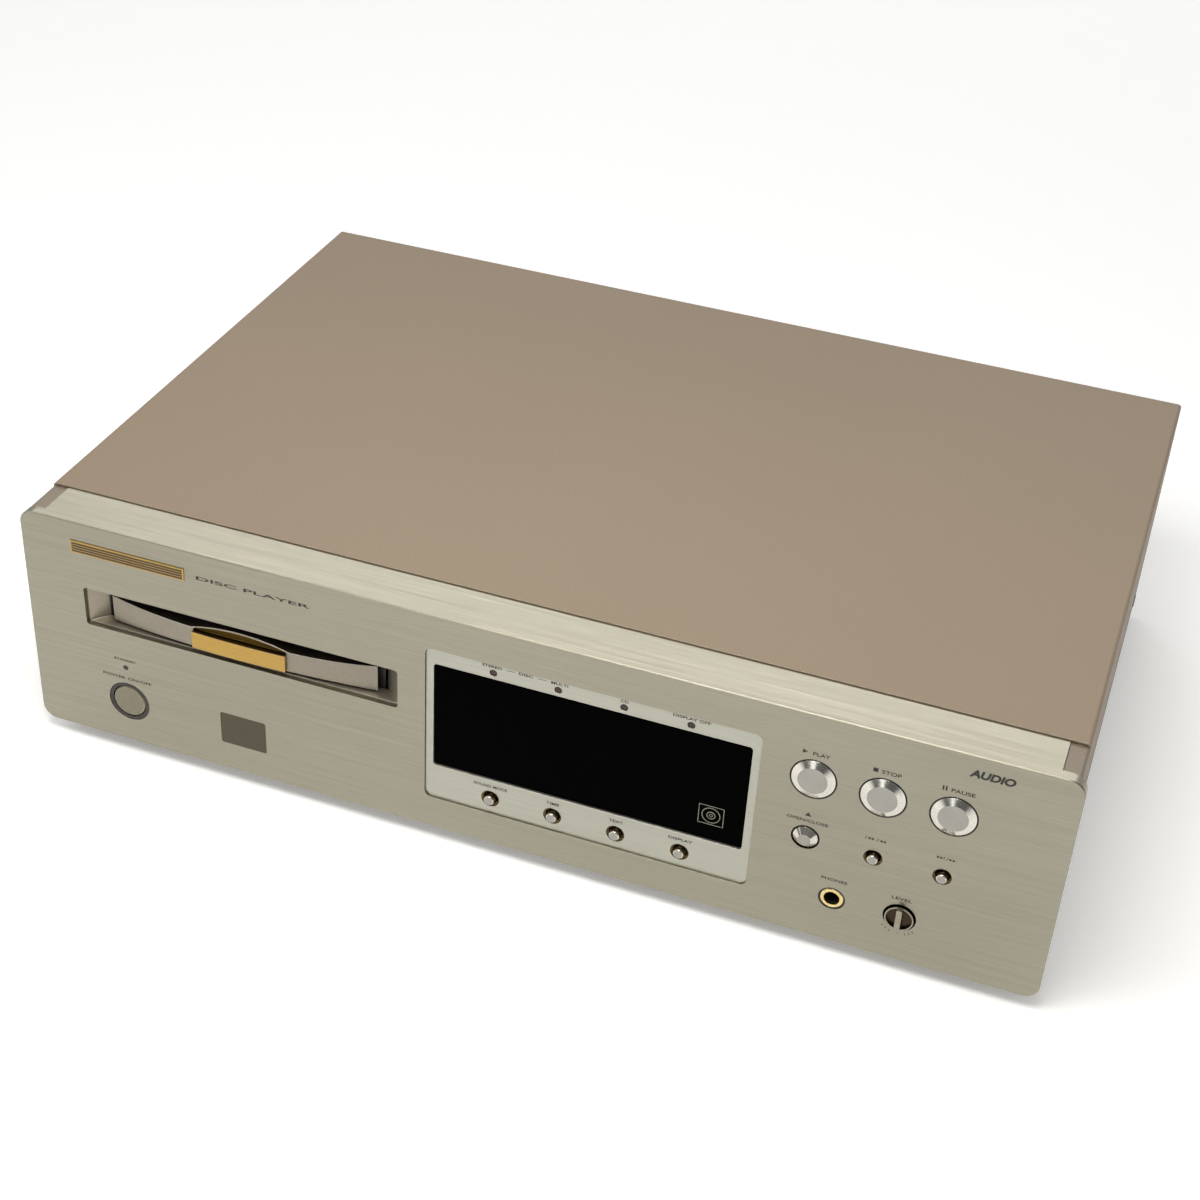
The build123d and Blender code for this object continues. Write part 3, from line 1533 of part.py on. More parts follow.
def make_mains_inlet():
    """Two-pin mains inlet with a figure-of-eight recess."""
    left, right, low, high = inlet_span()
    rear = body_depth + socket_face_proud
    front = rear - inlet_depth - inlet_base
    body = block(left, right, front, rear, low, high)
    recess_front = rear - inlet_depth
    half = inlet_lobe_spacing / 2
    recess = block(
        inlet_x - half, inlet_x + half, recess_front, rear,
        inlet_height - inlet_lobe_diameter / 2, inlet_height + inlet_lobe_diameter / 2,
    )
    for side in (-1, 1):
        recess += cylinder_y(inlet_x + side * half, inlet_height, recess_front, rear, inlet_lobe_diameter)
    body -= recess
    pins = [
        cylinder_y(
            inlet_x + side * half, inlet_height, recess_front, rear - inlet_pin_set, inlet_pin_diameter,
        )
        for side in (-1, 1)
    ]
    return body + pins


def make_transformer():
    """Laminated core with its winding, standing on the base."""
    core = block(
        transformer_x - core_width / 2, transformer_x + core_width / 2,
        transformer_depth - core_length / 2, transformer_depth + core_length / 2,
        base_top, base_top + core_height,
    )
    winding = slab(
        transformer_x - winding_width / 2, transformer_x + winding_width / 2,
        transformer_depth - winding_length / 2, transformer_depth + winding_length / 2,
        base_top + 10.0, base_top + core_height - 10.0, 5.0,
    )
    return core + winding


# ---------------------------------------------------------------- build and write
def all_nodes():
    """Every node's name and shape."""
    nodes = {
        "front_panel": make_front_panel(),
        "front_frame": make_front_frame(),
        "top_cover": make_top_cover(),
        "chassis_base": make_chassis_base(),
        "rear_panel": make_rear_panel(),
        "case_screws": make_case_screws(),
        "feet": make_feet(),
        "tray_bezel": make_tray_bezel(),
        "tray_door": make_tray_door(),
        "tray_accent": make_tray_accent(),
        "disc_tray": make_disc_tray(),
        "display_bezel": make_display_bezel(),
        "display_window": make_display_window(),
        "indicator_lenses": make_indicator_lenses(),
        "ir_window": make_ir_window(),
        "badge_plaque": make_badge_plaque(),
        "standby_led": make_standby_led(),
        "power_ring": make_power_ring(),
        "power_button": make_power_button(),
        "phones_jack": make_phones_jack(),
        "phones_ring": make_phones_ring(),
        "level_knob": make_level_knob(),
        "control_board": make_control_board(),
        "power_board": make_power_board(),
        "display_board": make_display_board(),
        "front_switches": make_front_switches(),
        "display_tube": make_display_tube(),
        "main_board": make_main_board(),
        "board_capacitors": make_board_capacitors(),
        "loader_frame": make_loader_frame(),
        "tray_gear": make_tray_gear(),
        "pulley_gear": make_pulley_gear(),
        "motor_pulley": make_motor_pulley(),
        "drive_belt": make_drive_belt(),
        "loading_motor": make_loading_motor(),
        "clamp_bridge": make_clamp_bridge(),
        "clamp_puck": make_clamp_puck(),
        "traverse_plate": make_traverse_plate(),
        "traverse_dampers": make_traverse_dampers(),
        "spindle_motor": make_spindle_motor(),
        "turntable": make_turntable(),
        "guide_rods": make_guide_rods(),
        "pickup_sled": make_pickup_sled(),
        "objective_lens": make_objective_lens(),
        "feed_gear": make_feed_gear(),
        "feed_motor": make_feed_motor(),
        "transformer": make_transformer(),
        "socket_blocks": make_socket_blocks(),
        "socket_barrels": make_socket_barrels(),
        "mains_inlet": make_mains_inlet(),
        "open_button": bevelled_button(play_x, open_height, open_diameter, open_flat_diameter, open_proud),
    }
    for name, x in zip(("play_button", "stop_button", "pause_button"), play_centres()):
        nodes[name] = bevelled_button(x, play_height, play_diameter, play_flat_diameter, play_proud)
    for name, x in zip(("previous_button", "next_button"), skip_centres()):
        nodes[name] = pin_button(
            x, skip_height, skip_diameter, 0, skip_proud, panel_thickness, stem_end,
        )
    for name, x in zip(("sound_key", "time_key", "text_key", "display_key"), key_centres()):
        nodes[name] = pin_button(
            x, key_height, key_diameter, display_set, key_proud, display_rear, key_stem_end,
        )
    return nodes


os.makedirs("parts", exist_ok=True)
for node, shape in all_nodes().items():
    export_step(shape, f"parts/{node}.step")
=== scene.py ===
import json
import math
import bmesh
import bpy
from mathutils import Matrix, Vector


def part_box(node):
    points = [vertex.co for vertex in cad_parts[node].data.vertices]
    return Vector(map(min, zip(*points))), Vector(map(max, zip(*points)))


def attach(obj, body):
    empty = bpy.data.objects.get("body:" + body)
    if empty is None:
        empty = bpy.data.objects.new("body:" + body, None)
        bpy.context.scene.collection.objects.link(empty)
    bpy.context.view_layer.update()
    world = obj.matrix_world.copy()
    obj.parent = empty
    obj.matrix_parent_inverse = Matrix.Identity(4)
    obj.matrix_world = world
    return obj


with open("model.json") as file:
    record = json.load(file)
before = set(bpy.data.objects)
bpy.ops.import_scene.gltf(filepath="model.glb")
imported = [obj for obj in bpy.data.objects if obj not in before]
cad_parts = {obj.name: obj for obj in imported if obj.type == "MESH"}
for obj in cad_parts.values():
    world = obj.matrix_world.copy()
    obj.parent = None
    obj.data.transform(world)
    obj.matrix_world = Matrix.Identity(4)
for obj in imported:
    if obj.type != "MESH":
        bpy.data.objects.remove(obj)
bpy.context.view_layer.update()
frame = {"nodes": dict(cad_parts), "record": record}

MM = 0.001
nodes = frame["nodes"]
scene = bpy.context.scene

panel_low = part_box("front_panel")[0]
FACE = panel_low.y          # the panel's face
SILL = panel_low.z          # the panel's lower edge
THROAT = 7.4                # depth in millimetres where the tray's funnel ends; behind it the paint is darkened as painted shade


# ---------------------------------------------------------------- camera
def make_camera():
    """A long lens above and to the right of the middle, tilted down, with a slight roll."""
    data = bpy.data.cameras.new("camera")
    data.sensor_width = 36.0
    data.lens = 61.57
    data.shift_x = 0.0222
    data.shift_y = -0.0169
    data.clip_start = 0.01
    data.clip_end = 20.0
    data.dof.use_dof = False
    camera = bpy.data.objects.new("camera", data)
    scene.collection.objects.link(camera)
    camera.location = (0.2258, -0.7461, 0.5783)
    camera.rotation_mode = "XYZ"
    camera.rotation_euler = [math.radians(a) for a in (55.562, -2.5155, 20.5477)]
    scene.camera = camera


# ---------------------------------------------------------------- mesh helpers
ROUND_STEPS = 64            # sides of every round shape


def mesh_object(name, bm, body, material, smooth=False):
    """Turns a bmesh into a piece that rides on a body, with one material."""
    mesh = bpy.data.meshes.new(name)
    bmesh.ops.recalc_face_normals(bm, faces=bm.faces)
    bm.to_mesh(mesh)
    bm.free()
    if smooth:
        for polygon in mesh.polygons:
            polygon.use_smooth = True
    piece = bpy.data.objects.new(name, mesh)
    scene.collection.objects.link(piece)
    mesh.materials.append(material)
    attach(piece, body)


def flat_shape(bm, outline, y_front, y_rear):
    """Adds a thin plate to a bmesh: an outline of (x, z) in metres, between two depths."""
    front = [bm.verts.new((x, y_front, z)) for x, z in outline]
    rear = [bm.verts.new((x, y_rear, z)) for x, z in outline]
    bm.faces.new(front)
    bm.faces.new(list(reversed(rear)))
    count = len(outline)
    for index in range(count):
        following = (index + 1) % count
        bm.faces.new((front[index], rear[index], rear[following], front[following]))


def turned_shape(bm, x, z, profile):
    """Adds a ring turned about an axis that runs front to back, from a closed profile of (radius, depth)."""
    loops = []
    for radius, depth in profile:
        loop = []
        for step in range(ROUND_STEPS):
            turn = 2 * math.pi * step / ROUND_STEPS
            loop.append(bm.verts.new((x + radius * math.cos(turn), depth, z + radius * math.sin(turn))))
        loops.append(loop)
    for loop, next_loop in zip(loops, loops[1:] + loops[:1]):
        for step in range(ROUND_STEPS):
            following = (step + 1) % ROUND_STEPS
            bm.faces.new((loop[step], loop[following], next_loop[following], next_loop[step]))


def ring_shape(bm, x, z, inner, outer, y_front, y_rear):
    """Adds a flat ring facing the front."""
    turned_shape(bm, x, z, [(inner, y_front), (outer, y_front), (outer, y_rear), (inner, y_rear)])


# ---------------------------------------------------------------- material helpers
def srgb(red, green, blue):
    """A colour given as 0 to 255 screen values, as linear values."""
    def linear(value):
        value = value / 255
        return value / 12.92 if value <= 0.04045 else ((value + 0.055) / 1.055) ** 2.4
    return (linear(red), linear(green), linear(blue), 1.0)


TO_FRONT = (0, -1, 0)
NOISE_LOW = 0.3             # most of a noise lies between these two
NOISE_HIGH = 0.7
GRAIN_HEIGHT = 0.1 * MM     # depth of the finest surface texture
EDGE_START = 0.995          # cosine of the turn at which an edge starts to show wear, and on brushed and painted finishes a painted highlight
EDGE_FULL = 0.85            # cosine of the turn at which it is full
PAINT_EDGE = 0.4 * MM       # radii of slightly rounded edges
MOULDED_EDGE = 0.25 * MM
BUTTON_EDGE = 0.15 * MM
FINE_ALONG = 6              # how much finer the second brushing is along the grain
FINE_ACROSS = 2.2           # and across it
FINE_SHARE = 0.35           # its share of the whole brushing
SPECK_FINER = 2.3           # how much finer the paint's specks are than its pebbles
BROAD_TONE = 9.0            # noise scales
SLOW_TONE = 6.0
FLOW_MARKS = 30.0
DUST = 260.0
HAIRLINES = (40, 40, 2500)
SATIN_GRAIN = (1400, 1400, 1400)
HOLLOW_SHADE_DEPTHS = (0.2, 1.6)  # millimetres behind the panel's face where the painted shade in a hollow starts and is full
THROAT_FADE = 0.3           # millimetres over which the painted shade in the funnel fades in
CUP_FADE = 0.7              # millimetres over which the painted shade in a knob's cup fades in
# pale colours for lightened edges, partly edge wear and partly a painted edge highlight
WORN_AND_HIGHLIT_METAL = (0.9, 0.87, 0.8, 1.0)
WORN_AND_HIGHLIT_PAINT = (0.6, 0.56, 0.48, 1)
# colour of the painted shade deep in the tray's funnel
THROAT_SHADE = srgb(26, 22, 18)
# colour of the painted shade in a knob's cup
CUP_SHADE = srgb(60, 50, 38)


class Material:
    """A node material with a short way to add and join nodes."""

    def __init__(self, name):
        self.material = bpy.data.materials.new(name)
        self.material.use_nodes = True
        self.tree = self.material.node_tree
        self.shader = self.tree.nodes["Principled BSDF"]
        self.coords = self.add("ShaderNodeTexCoord").outputs["Object"]

    def add(self, kind, **values):
        """Adds a node and sets its own values."""
        node = self.tree.nodes.new(kind)
        for key, value in values.items():
            setattr(node, key, value)
        return node

    def put(self, target, value):
        """Sets a socket from a number or colour, or links it from another socket."""
        if isinstance(value, bpy.types.NodeSocket):
            self.tree.links.new(value, target)
        else:
            target.default_value = value

    def set(self, **values):
        """Sets the shader's own sockets; an underscore stands for a space."""
        for key, value in values.items():
            self.put(self.shader.inputs[key.replace("_", " ")], value)
        return self

    def stretched(self, scale):
        """Object coordinates multiplied by a vector."""
        node = self.add("ShaderNodeMapping")
        self.put(node.inputs["Vector"], self.coords)
        node.inputs["Scale"].default_value = scale
        return node.outputs["Vector"]

    def noise(self, scale, size=(1, 1, 1), detail=4.0, rough=0.5):
        """Noise from 0 to 1."""
        node = self.add("ShaderNodeTexNoise")
        self.put(node.inputs["Vector"], self.stretched(size))
        node.inputs["Scale"].default_value = scale
        node.inputs["Detail"].default_value = detail
        node.inputs["Roughness"].default_value = rough
        return node.outputs["Fac"]

    def math(self, operation, a, b):
        """One sum on two numbers or sockets."""
        node = self.add("ShaderNodeMath", operation=operation)
        self.put(node.inputs[0], a)
        self.put(node.inputs[1], b)
        return node.outputs[0]

    def span(self, value, low, high, to_low, to_high):
        """Maps a value from one range to another, held at the ends."""
        node = self.add("ShaderNodeMapRange")
        self.put(node.inputs["Value"], value)
        for key, number in zip(("From Min", "From Max", "To Min", "To Max"), (low, high, to_low, to_high)):
            self.put(node.inputs[key], number)
        return node.outputs["Result"]

    def spread(self, noise, to_low=0.0, to_high=1.0):
        """Maps the range in which most of a noise lies to another range."""
        return self.span(noise, NOISE_LOW, NOISE_HIGH, to_low, to_high)

    def mix(self, factor, a, b):
        """Mixes two colours."""
        node = self.add("ShaderNodeMix", data_type="RGBA")
        self.put(node.inputs["Factor"], factor)
        self.put(node.inputs[6], a)
        self.put(node.inputs[7], b)
        return node.outputs[2]

    def mix_numbers(self, factor, a, b):
        """Mixes two numbers."""
        node = self.add("ShaderNodeMix", data_type="FLOAT")
        self.put(node.inputs[0], factor)
        self.put(node.inputs[2], a)
        self.put(node.inputs[3], b)
        return node.outputs[0]

    def bump(self, height, strength, over=None, distance=GRAIN_HEIGHT):
        """A bumped normal, over another normal if one is given."""
        node = self.add("ShaderNodeBump")
        if over is not None:
            self.put(node.inputs["Normal"], over)
        node.inputs["Strength"].default_value = strength
        node.inputs["Distance"].default_value = distance
        self.put(node.inputs["Height"], height)
        return node.outputs["Normal"]

    def soft_edge(self, radius):
        """A normal rounded over sharp edges, and how much it turns away from the face there."""
        node = self.add("ShaderNodeBevel", samples=4)
        node.inputs["Radius"].default_value = radius
        geometry = self.add("ShaderNodeNewGeometry")
        turn = self.add("ShaderNodeVectorMath", operation="DOT_PRODUCT")
        self.put(turn.inputs[0], node.outputs["Normal"])
        self.put(turn.inputs[1], geometry.outputs["Normal"])
        turned = self.span(turn.outputs["Value"], EDGE_START, EDGE_FULL, 0.0, 1.0)
        return node.outputs["Normal"], turned

    def facing(self, axis):
        """How far the surface faces along an axis, 1 straight on."""
        node = self.add("ShaderNodeVectorMath", operation="DOT_PRODUCT")
        geometry = self.add("ShaderNodeNewGeometry")
        self.put(node.inputs[0], geometry.outputs["Normal"])
        node.inputs[1].default_value = axis
        return node.outputs["Value"]

    def behind(self, start, end):
        """Rises from 0 to 1 between two depths behind the panel's face, in millimetres."""
        return self.span(self.part(1), FACE + start * MM, FACE + end * MM, 0.0, 1.0)

    def part(self, axis):
        """One object coordinate, 0 for x, 1 for y, 2 for z."""
        node = self.add("ShaderNodeSeparateXYZ")
        self.put(node.inputs[0], self.coords)
        return node.outputs[axis]


def brushed(
    name, light, dark, rough, metal=1.0, grain=(6, 900, 900), strength=0.15, wear_and_highlight=0.0, edge=0.3, hollow_shade=None,
):
    """Metal brushed in fine long streaks along its grain, with painted shade in its hollow if a colour for it
    is given.
    """
    m = Material(name)
    finer_grain = (grain[0] * FINE_ALONG, grain[1] * FINE_ACROSS, grain[2] * FINE_ACROSS)
    streak = m.noise(1.0, grain, 6.0, 0.6)
    broad = m.noise(BROAD_TONE, detail=2.0)
    fine = m.noise(1.0, finer_grain, 3.0)
    both = m.math("ADD", m.math("MULTIPLY", fine, FINE_SHARE), m.math("MULTIPLY", streak, 1.0 - FINE_SHARE))
    colour = m.mix(m.spread(both), dark, light)
    colour = m.mix(m.span(broad, 0.35, 0.7, 0.0, 0.35), colour, dark)
    # painted shade: the colour darkens behind the panel's face, standing in for the shade in a hollow
    if hollow_shade:
        colour = m.mix(m.behind(*HOLLOW_SHADE_DEPTHS), colour, hollow_shade)
    rounded, turned = m.soft_edge(edge * MM)
    # lightened edges: partly edge wear, partly a painted edge highlight
    if wear_and_highlight:
        colour = m.mix(m.math("MULTIPLY", turned, wear_and_highlight), colour, WORN_AND_HIGHLIT_METAL)
    m.set(Base_Color=colour, Metallic=metal)
    m.set(Roughness=m.spread(both, rough + 0.07, rough - 0.05))
    m.set(Normal=m.bump(both, strength, rounded, 2 * GRAIN_HEIGHT))
    return m.material


def painted(
    name, light, dark, rough, grain=1800, strength=0.25, metal=0.0, wear_and_highlight=0.0, worn_and_highlight=WORN_AND_HIGHLIT_PAINT, side_shade=None,
    shade_depth=None,
):
    """Fine-textured paint over slow changes of tone.

    If a side shade colour is given, faces that don't face the front take it instead of the paint, as painted
    shade.
    If a shade depth is given, the paint turns dark behind it, as painted shade.
    """
    m = Material(name)
    pebble = m.noise(grain, detail=2.0)
    speck = m.noise(grain * SPECK_FINER, detail=1.0)
    broad = m.noise(SLOW_TONE, detail=3.0)
    height = m.math("ADD", pebble, m.math("MULTIPLY", speck, 0.5))
    colour = m.mix(m.spread(pebble), dark, light)
    colour = m.mix(m.span(broad, 0.35, 0.65, 0.0, 0.3), colour, dark)
    rounded, turned = m.soft_edge(PAINT_EDGE)
    # painted shade: faces that don't face the front take the dark side shade colour
    if side_shade:
        front_facing = m.span(m.facing(TO_FRONT), 0.1, 0.3, 0.0, 1.0)
        colour = m.mix(front_facing, side_shade, colour)
        metal = m.math("MULTIPLY", front_facing, metal)
    # lightened edges: partly edge wear, partly a painted edge highlight
    if wear_and_highlight:
        colour = m.mix(m.math("MULTIPLY", turned, wear_and_highlight), colour, worn_and_highlight)
    # painted shade: the paint turns dark behind the given depth and loses its metal
    if shade_depth:
        in_shade = m.behind(shade_depth, shade_depth + THROAT_FADE)
        colour = m.mix(in_shade, colour, THROAT_SHADE)
        metal = m.math("MULTIPLY", m.math("SUBTRACT", 1.0, in_shade), metal)
    m.set(Base_Color=colour, Metallic=metal)
    m.set(Roughness=m.spread(speck, rough - 0.06, rough + 0.08))
    m.set(Normal=m.bump(height, strength, rounded))
    return m.material


def moulded(name, light, dark, rough, grain=900, strength=0.12):
    """Moulded plastic or rubber with faint flow marks, a fine grain and paler rubbed edges."""
    m = Material(name)
    fine = m.noise(grain, detail=3.0)
    flow = m.noise(FLOW_MARKS, (1, 2, 3), 4.0)
    colour = m.mix(m.spread(flow), dark, light)
    rounded, turned = m.soft_edge(MOULDED_EDGE)
    pale = tuple(min(1.0, 1.6 * channel + 0.02) for channel in light[:3]) + (1.0,)
    m.set(Base_Color=m.mix(m.math("MULTIPLY", turned, 0.5), colour, pale))
    m.set(Roughness=m.spread(fine, rough - 0.08, rough + 0.1))
    m.set(Normal=m.bump(fine, strength, rounded))
    return m.material


def gloss(name, colour, second, rough, level=0.5):
    """Smooth glossy plastic or glass with faint dust and hairlines."""
    m = Material(name)
    dust = m.noise(DUST, detail=5.0, rough=0.7)
    hair = m.noise(1.0, HAIRLINES, 2.0)
    dusty = m.span(dust, 0.62, 0.8, 0.0, 0.25)
    marks = m.math("ADD", dust, m.math("MULTIPLY", hair, 0.3))
    m.set(Base_Color=m.mix(dusty, colour, second), Specular_IOR_Level=level)
    m.set(Roughness=m.span(marks, 0.5, 0.9, rough, rough + 0.08))
    m.set(Normal=m.bump(hair, 0.02))
    return m.material


def turned_button(name, light, dark, rim_rough, face_rough, anisotropy=0.0, face_tone=1.0, cup_shade=None):
    """Turned metal: a polished slanting rim, a satin flat face, and painted shade in its cup if its depth is
    given.
    """
    m = Material(name)
    flat = m.span(m.facing(TO_FRONT), 0.97, 0.99, 0.0, 1.0)
    satin = m.noise(1.0, SATIN_GRAIN, 3.0)
    colour = m.mix(m.spread(satin), dark, light)
    if face_tone < 1.0:
        colour = m.mix(flat, colour, tuple(face_tone * channel for channel in light[:3]) + (1.0,))
    # painted shade: the colour darkens towards the given depth in the knob's cup
    if cup_shade is not None:
        colour = m.mix(m.behind(cup_shade - CUP_FADE, cup_shade), colour, CUP_SHADE)
    m.set(Base_Color=colour, Metallic=1.0)
    m.set(Roughness=m.mix_numbers(flat, rim_rough, m.spread(satin, face_rough - 0.05, face_rough + 0.05)))
    if anisotropy:
        tangent = m.add("ShaderNodeTangent", direction_type="RADIAL", axis="Y")
        m.set(Anisotropic=anisotropy, Tangent=tangent.outputs[0])
    rounded = m.soft_edge(BUTTON_EDGE)[0]
    m.set(Normal=m.bump(satin, 0.05, rounded))
    return m.material


# ---------------------------------------------------------------- materials
GILT_LIGHT = srgb(190, 158, 92)
GILT_DARK = srgb(174, 140, 74)
GILT_GRAIN = (60, 1500, 1500)
EVEN_GRAIN = (500, 500, 500)

panel_metal = brushed(
    "panel_brushed", srgb(160, 156, 140), srgb(147, 143, 128), 0.36,
    grain=(14, 1500, 1500), strength=0.1, wear_and_highlight=0.15, edge=0.2,
)
cover_paint = painted(
    "cover_textured_paint", srgb(142, 124, 102), srgb(128, 112, 91), 0.5, metal=0.12, wear_and_highlight=0.7,
)
frame_paint = painted("frame_satin_paint", srgb(132, 119, 103), srgb(118, 106, 91), 0.45, metal=0.2, wear_and_highlight=0.5)
steel = brushed(
    "steel_zinc", srgb(180, 182, 182), srgb(150, 152, 150), 0.36, grain=(60, 260, 260), strength=0.1,
)
screw = brushed("steel_screws", srgb(120, 114, 104), srgb(90, 86, 78), 0.32, grain=EVEN_GRAIN, strength=0.1)
foot = moulded("foot_plastic", srgb(38, 38, 38), srgb(26, 26, 26), 0.55)
bezel_paint = brushed(
    "bezel_satin_silver", srgb(182, 181, 169), srgb(168, 167, 155), 0.34,
    metal=0.9, grain=(10, 1200, 1200), strength=0.06, wear_and_highlight=0.5,
)
# the tray door: faces that don't face the front painted dark as shade, edges lightened as wear and painted
# highlight, paint darkened deep in the funnel as painted shade
tray_silver = painted(
    "tray_satin_silver", srgb(150, 142, 128), srgb(138, 130, 117), 0.34,
    grain=1400, strength=0.1, metal=0.8, wear_and_highlight=0.9, worn_and_highlight=(0.95, 0.9, 0.8, 1), side_shade=srgb(34, 28, 22),
    shade_depth=THROAT - 1.4,
)
# the tray's funnel: paint darkened behind the funnel's end as painted shade, edges lightened as wear and
# painted highlight
bezel_warm = painted(
    "bezel_warm_silver", srgb(158, 150, 134), srgb(146, 138, 124), 0.36,
    grain=1400, strength=0.1, metal=0.8, wear_and_highlight=0.5, worn_and_highlight=(0.8, 0.76, 0.66, 1), shade_depth=THROAT,
)
gilt = brushed("gilt", GILT_LIGHT, GILT_DARK, 0.3, grain=GILT_GRAIN, strength=0.04, wear_and_highlight=0.4, edge=0.2)
# the tray door's gilt insert, its finger hollow darkened as painted shade
gilt_shaded_hollow = brushed(
    "gilt_shaded_hollow", GILT_LIGHT, GILT_DARK, 0.3,
    grain=GILT_GRAIN, strength=0.04, wear_and_highlight=0.4, edge=0.2, hollow_shade=srgb(104, 80, 34),
)
ring_gilt = brushed(
    "ring_gilt", srgb(236, 216, 160), srgb(216, 192, 132), 0.26, grain=EVEN_GRAIN, strength=0.03,
)
# darker metal for the dish liners, partly the dishes' own finish and partly painted shade
dish_finish_and_shade = turned_button("dish_bronze_and_shade", srgb(112, 94, 66), srgb(84, 70, 48), 0.2, 0.3)
# dark colour for the rings of painted shade in the gaps round the buttons
gap_shade_plastic = moulded("gap_shade_dark", srgb(34, 28, 22), srgb(22, 18, 14), 0.4)
tray_plastic = moulded("tray_moulded", srgb(44, 44, 47), srgb(30, 30, 33), 0.5)
window_black = gloss("window_black", srgb(1, 1, 1), srgb(3, 3, 3), 0.1, 0.01)
eye_glass = gloss("eye_window", srgb(80, 73, 56), srgb(94, 87, 70), 0.35, 0.25)
lens_glass = gloss("indicator_lens", srgb(60, 42, 36), srgb(90, 72, 64), 0.18, 0.4)
button_metal = turned_button(
    "button_turned", srgb(216, 213, 204), srgb(200, 197, 188), 0.14, 0.34, anisotropy=0.7, face_tone=0.5,
)
# the level knob, with painted shade in its cup
knob_metal = turned_button("knob_turned", srgb(160, 153, 138), srgb(140, 133, 118), 0.22, 0.3, cup_shade=0.1)
power_metal = painted(
    "power_satin", srgb(138, 132, 114), srgb(126, 120, 104), 0.38, 1500, 0.08, metal=0.85, wear_and_highlight=0.6,
)
black_plastic = moulded("black_plastic", srgb(30, 28, 26), srgb(18, 17, 16), 0.42)
dark_ring = moulded("ring_dark", srgb(44, 35, 25), srgb(30, 24, 17), 0.3)
tube_glass = gloss("tube_glass", srgb(40, 48, 48), srgb(60, 70, 70), 0.1)
gear_plastic = moulded("gear_acetal", srgb(232, 228, 214), srgb(216, 211, 196), 0.45)
rubber = moulded("rubber_black", srgb(30, 30, 30), srgb(20, 20, 20), 0.75, 500, 0.3)
motor_steel = brushed(
    "motor_steel", srgb(186, 186, 186), srgb(160, 160, 160), 0.3, grain=(300, 300, 30), strength=0.08,
)
rod_steel = brushed(
    "rod_polished", srgb(215, 215, 215), srgb(195, 195, 195), 0.12, grain=(900, 20, 900), strength=0.03,
)
turntable_plastic = moulded("turntable_plastic", srgb(48, 48, 48), srgb(36, 36, 36), 0.4)
sled_metal = painted("sled_cast", srgb(176, 176, 176), srgb(150, 150, 150), 0.42, 600, 0.3, metal=0.9)
lens_plastic = gloss("lens_plastic", srgb(60, 60, 84), srgb(84, 84, 110), 0.12)
core_steel = brushed(
    "core_laminated", srgb(106, 106, 110), srgb(60, 60, 64), 0.45, grain=(20, 1600, 20), strength=0.5,
)


def board_material():
    """Green solder mask with copper traces showing faintly under it."""
    m = Material("board_mask")
    grid = m.add("ShaderNodeTexBrick")
    m.put(grid.inputs["Vector"], m.coords)
    grid.inputs["Scale"].default_value = 90.0
    grid.inputs["Mortar Size"].default_value = 0.012
    grid.inputs["Color1"].default_value = srgb(24, 92, 52)
    grid.inputs["Color2"].default_value = srgb(30, 104, 60)
    grid.inputs["Mortar"].default_value = srgb(70, 140, 82)
    fine = m.noise(500.0)
    m.set(Base_Color=grid.outputs["Color"], Roughness=m.spread(fine, 0.25, 0.4))
    m.set(Normal=m.bump(grid.outputs["Fac"], 0.15))
    return m.material


def sleeve_material():
    """Dark blue shrink sleeve with a bright top."""
    m = Material("capacitor_sleeve")
    top = m.span(m.facing((0, 0, 1)), 0.9, 0.95, 0.0, 1.0)
    fine = m.noise(300.0)
    sleeve = m.mix(m.spread(fine), srgb(26, 30, 62), srgb(36, 40, 76))
    m.set(Base_Color=m.mix(top, sleeve, srgb(190, 190, 190)), Metallic=top)
    m.set(Roughness=m.spread(fine, 0.28, 0.4))
    return m.material


def ink(name, colour, rough):
    """Screen-printed ink with slightly uneven cover."""
    m = Material(name)
    cover = m.noise(2500.0)
    dark = tuple(0.7 * channel for channel in colour[:3]) + (1.0,)
    m.set(Base_Color=m.mix(m.spread(cover), colour, dark))
    m.set(Roughness=m.spread(cover, rough - 0.06, rough + 0.06))
    return m.material


finish_of_slot = {
    "panel_aluminium": panel_metal,
    "case_paint": cover_paint,
    "frame_paint": frame_paint,
    "steel_sheet": steel,
    "screw_steel": screw,
    "foot_plastic": foot,
    "bezel_plastic": bezel_paint,
    "tray_silver": tray_silver,
    "gilt": gilt,
    "tray_plastic": tray_plastic,
    "window_black": window_black,
    "eye_window": eye_glass,
    "lens_clear": lens_glass,
    "button_metal": button_metal,
    "black_plastic": black_plastic,
    "board_green": board_material(),
    "tube_glass": tube_glass,
    "capacitor_sleeve": sleeve_material(),
    "gear_plastic": gear_plastic,
    "rubber_black": rubber,
    "motor_steel": motor_steel,
    "polished_steel": rod_steel,
    "turntable_plastic": turntable_plastic,
    "sled_metal": sled_metal,
    "lens_plastic": lens_plastic,
    "core_steel": core_steel,
}
own_finish = {
    "power_button": power_metal,
    "power_ring": dark_ring,
    "level_knob": knob_metal,
    "tray_bezel": bezel_warm,
    "tray_accent": gilt_shaded_hollow,
    "phones_ring": ring_gilt,
}


def finish_nodes():
    """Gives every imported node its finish, by its own name or by its material slot."""
    slots = {part["node"]: part["material_slot"] for part in frame["record"]["subparts"]}
    for name, piece in nodes.items():
        material = own_finish.get(name) or finish_of_slot[slots[name]]
        piece.data.materials.clear()
        piece.data.materials.append(material)


# ---------------------------------------------------------------- printing
print_dark = ink("print_dark", srgb(36, 33, 26), 0.55)
print_pale = ink("print_pale", srgb(150, 146, 130), 0.45)
print_bronze = ink("print_bronze", srgb(62, 48, 26), 0.4)
PRINT = 0.05 * MM           # thickness of the printed ink
KEYS = ("sound_key", "time_key", "text_key", "display_key")

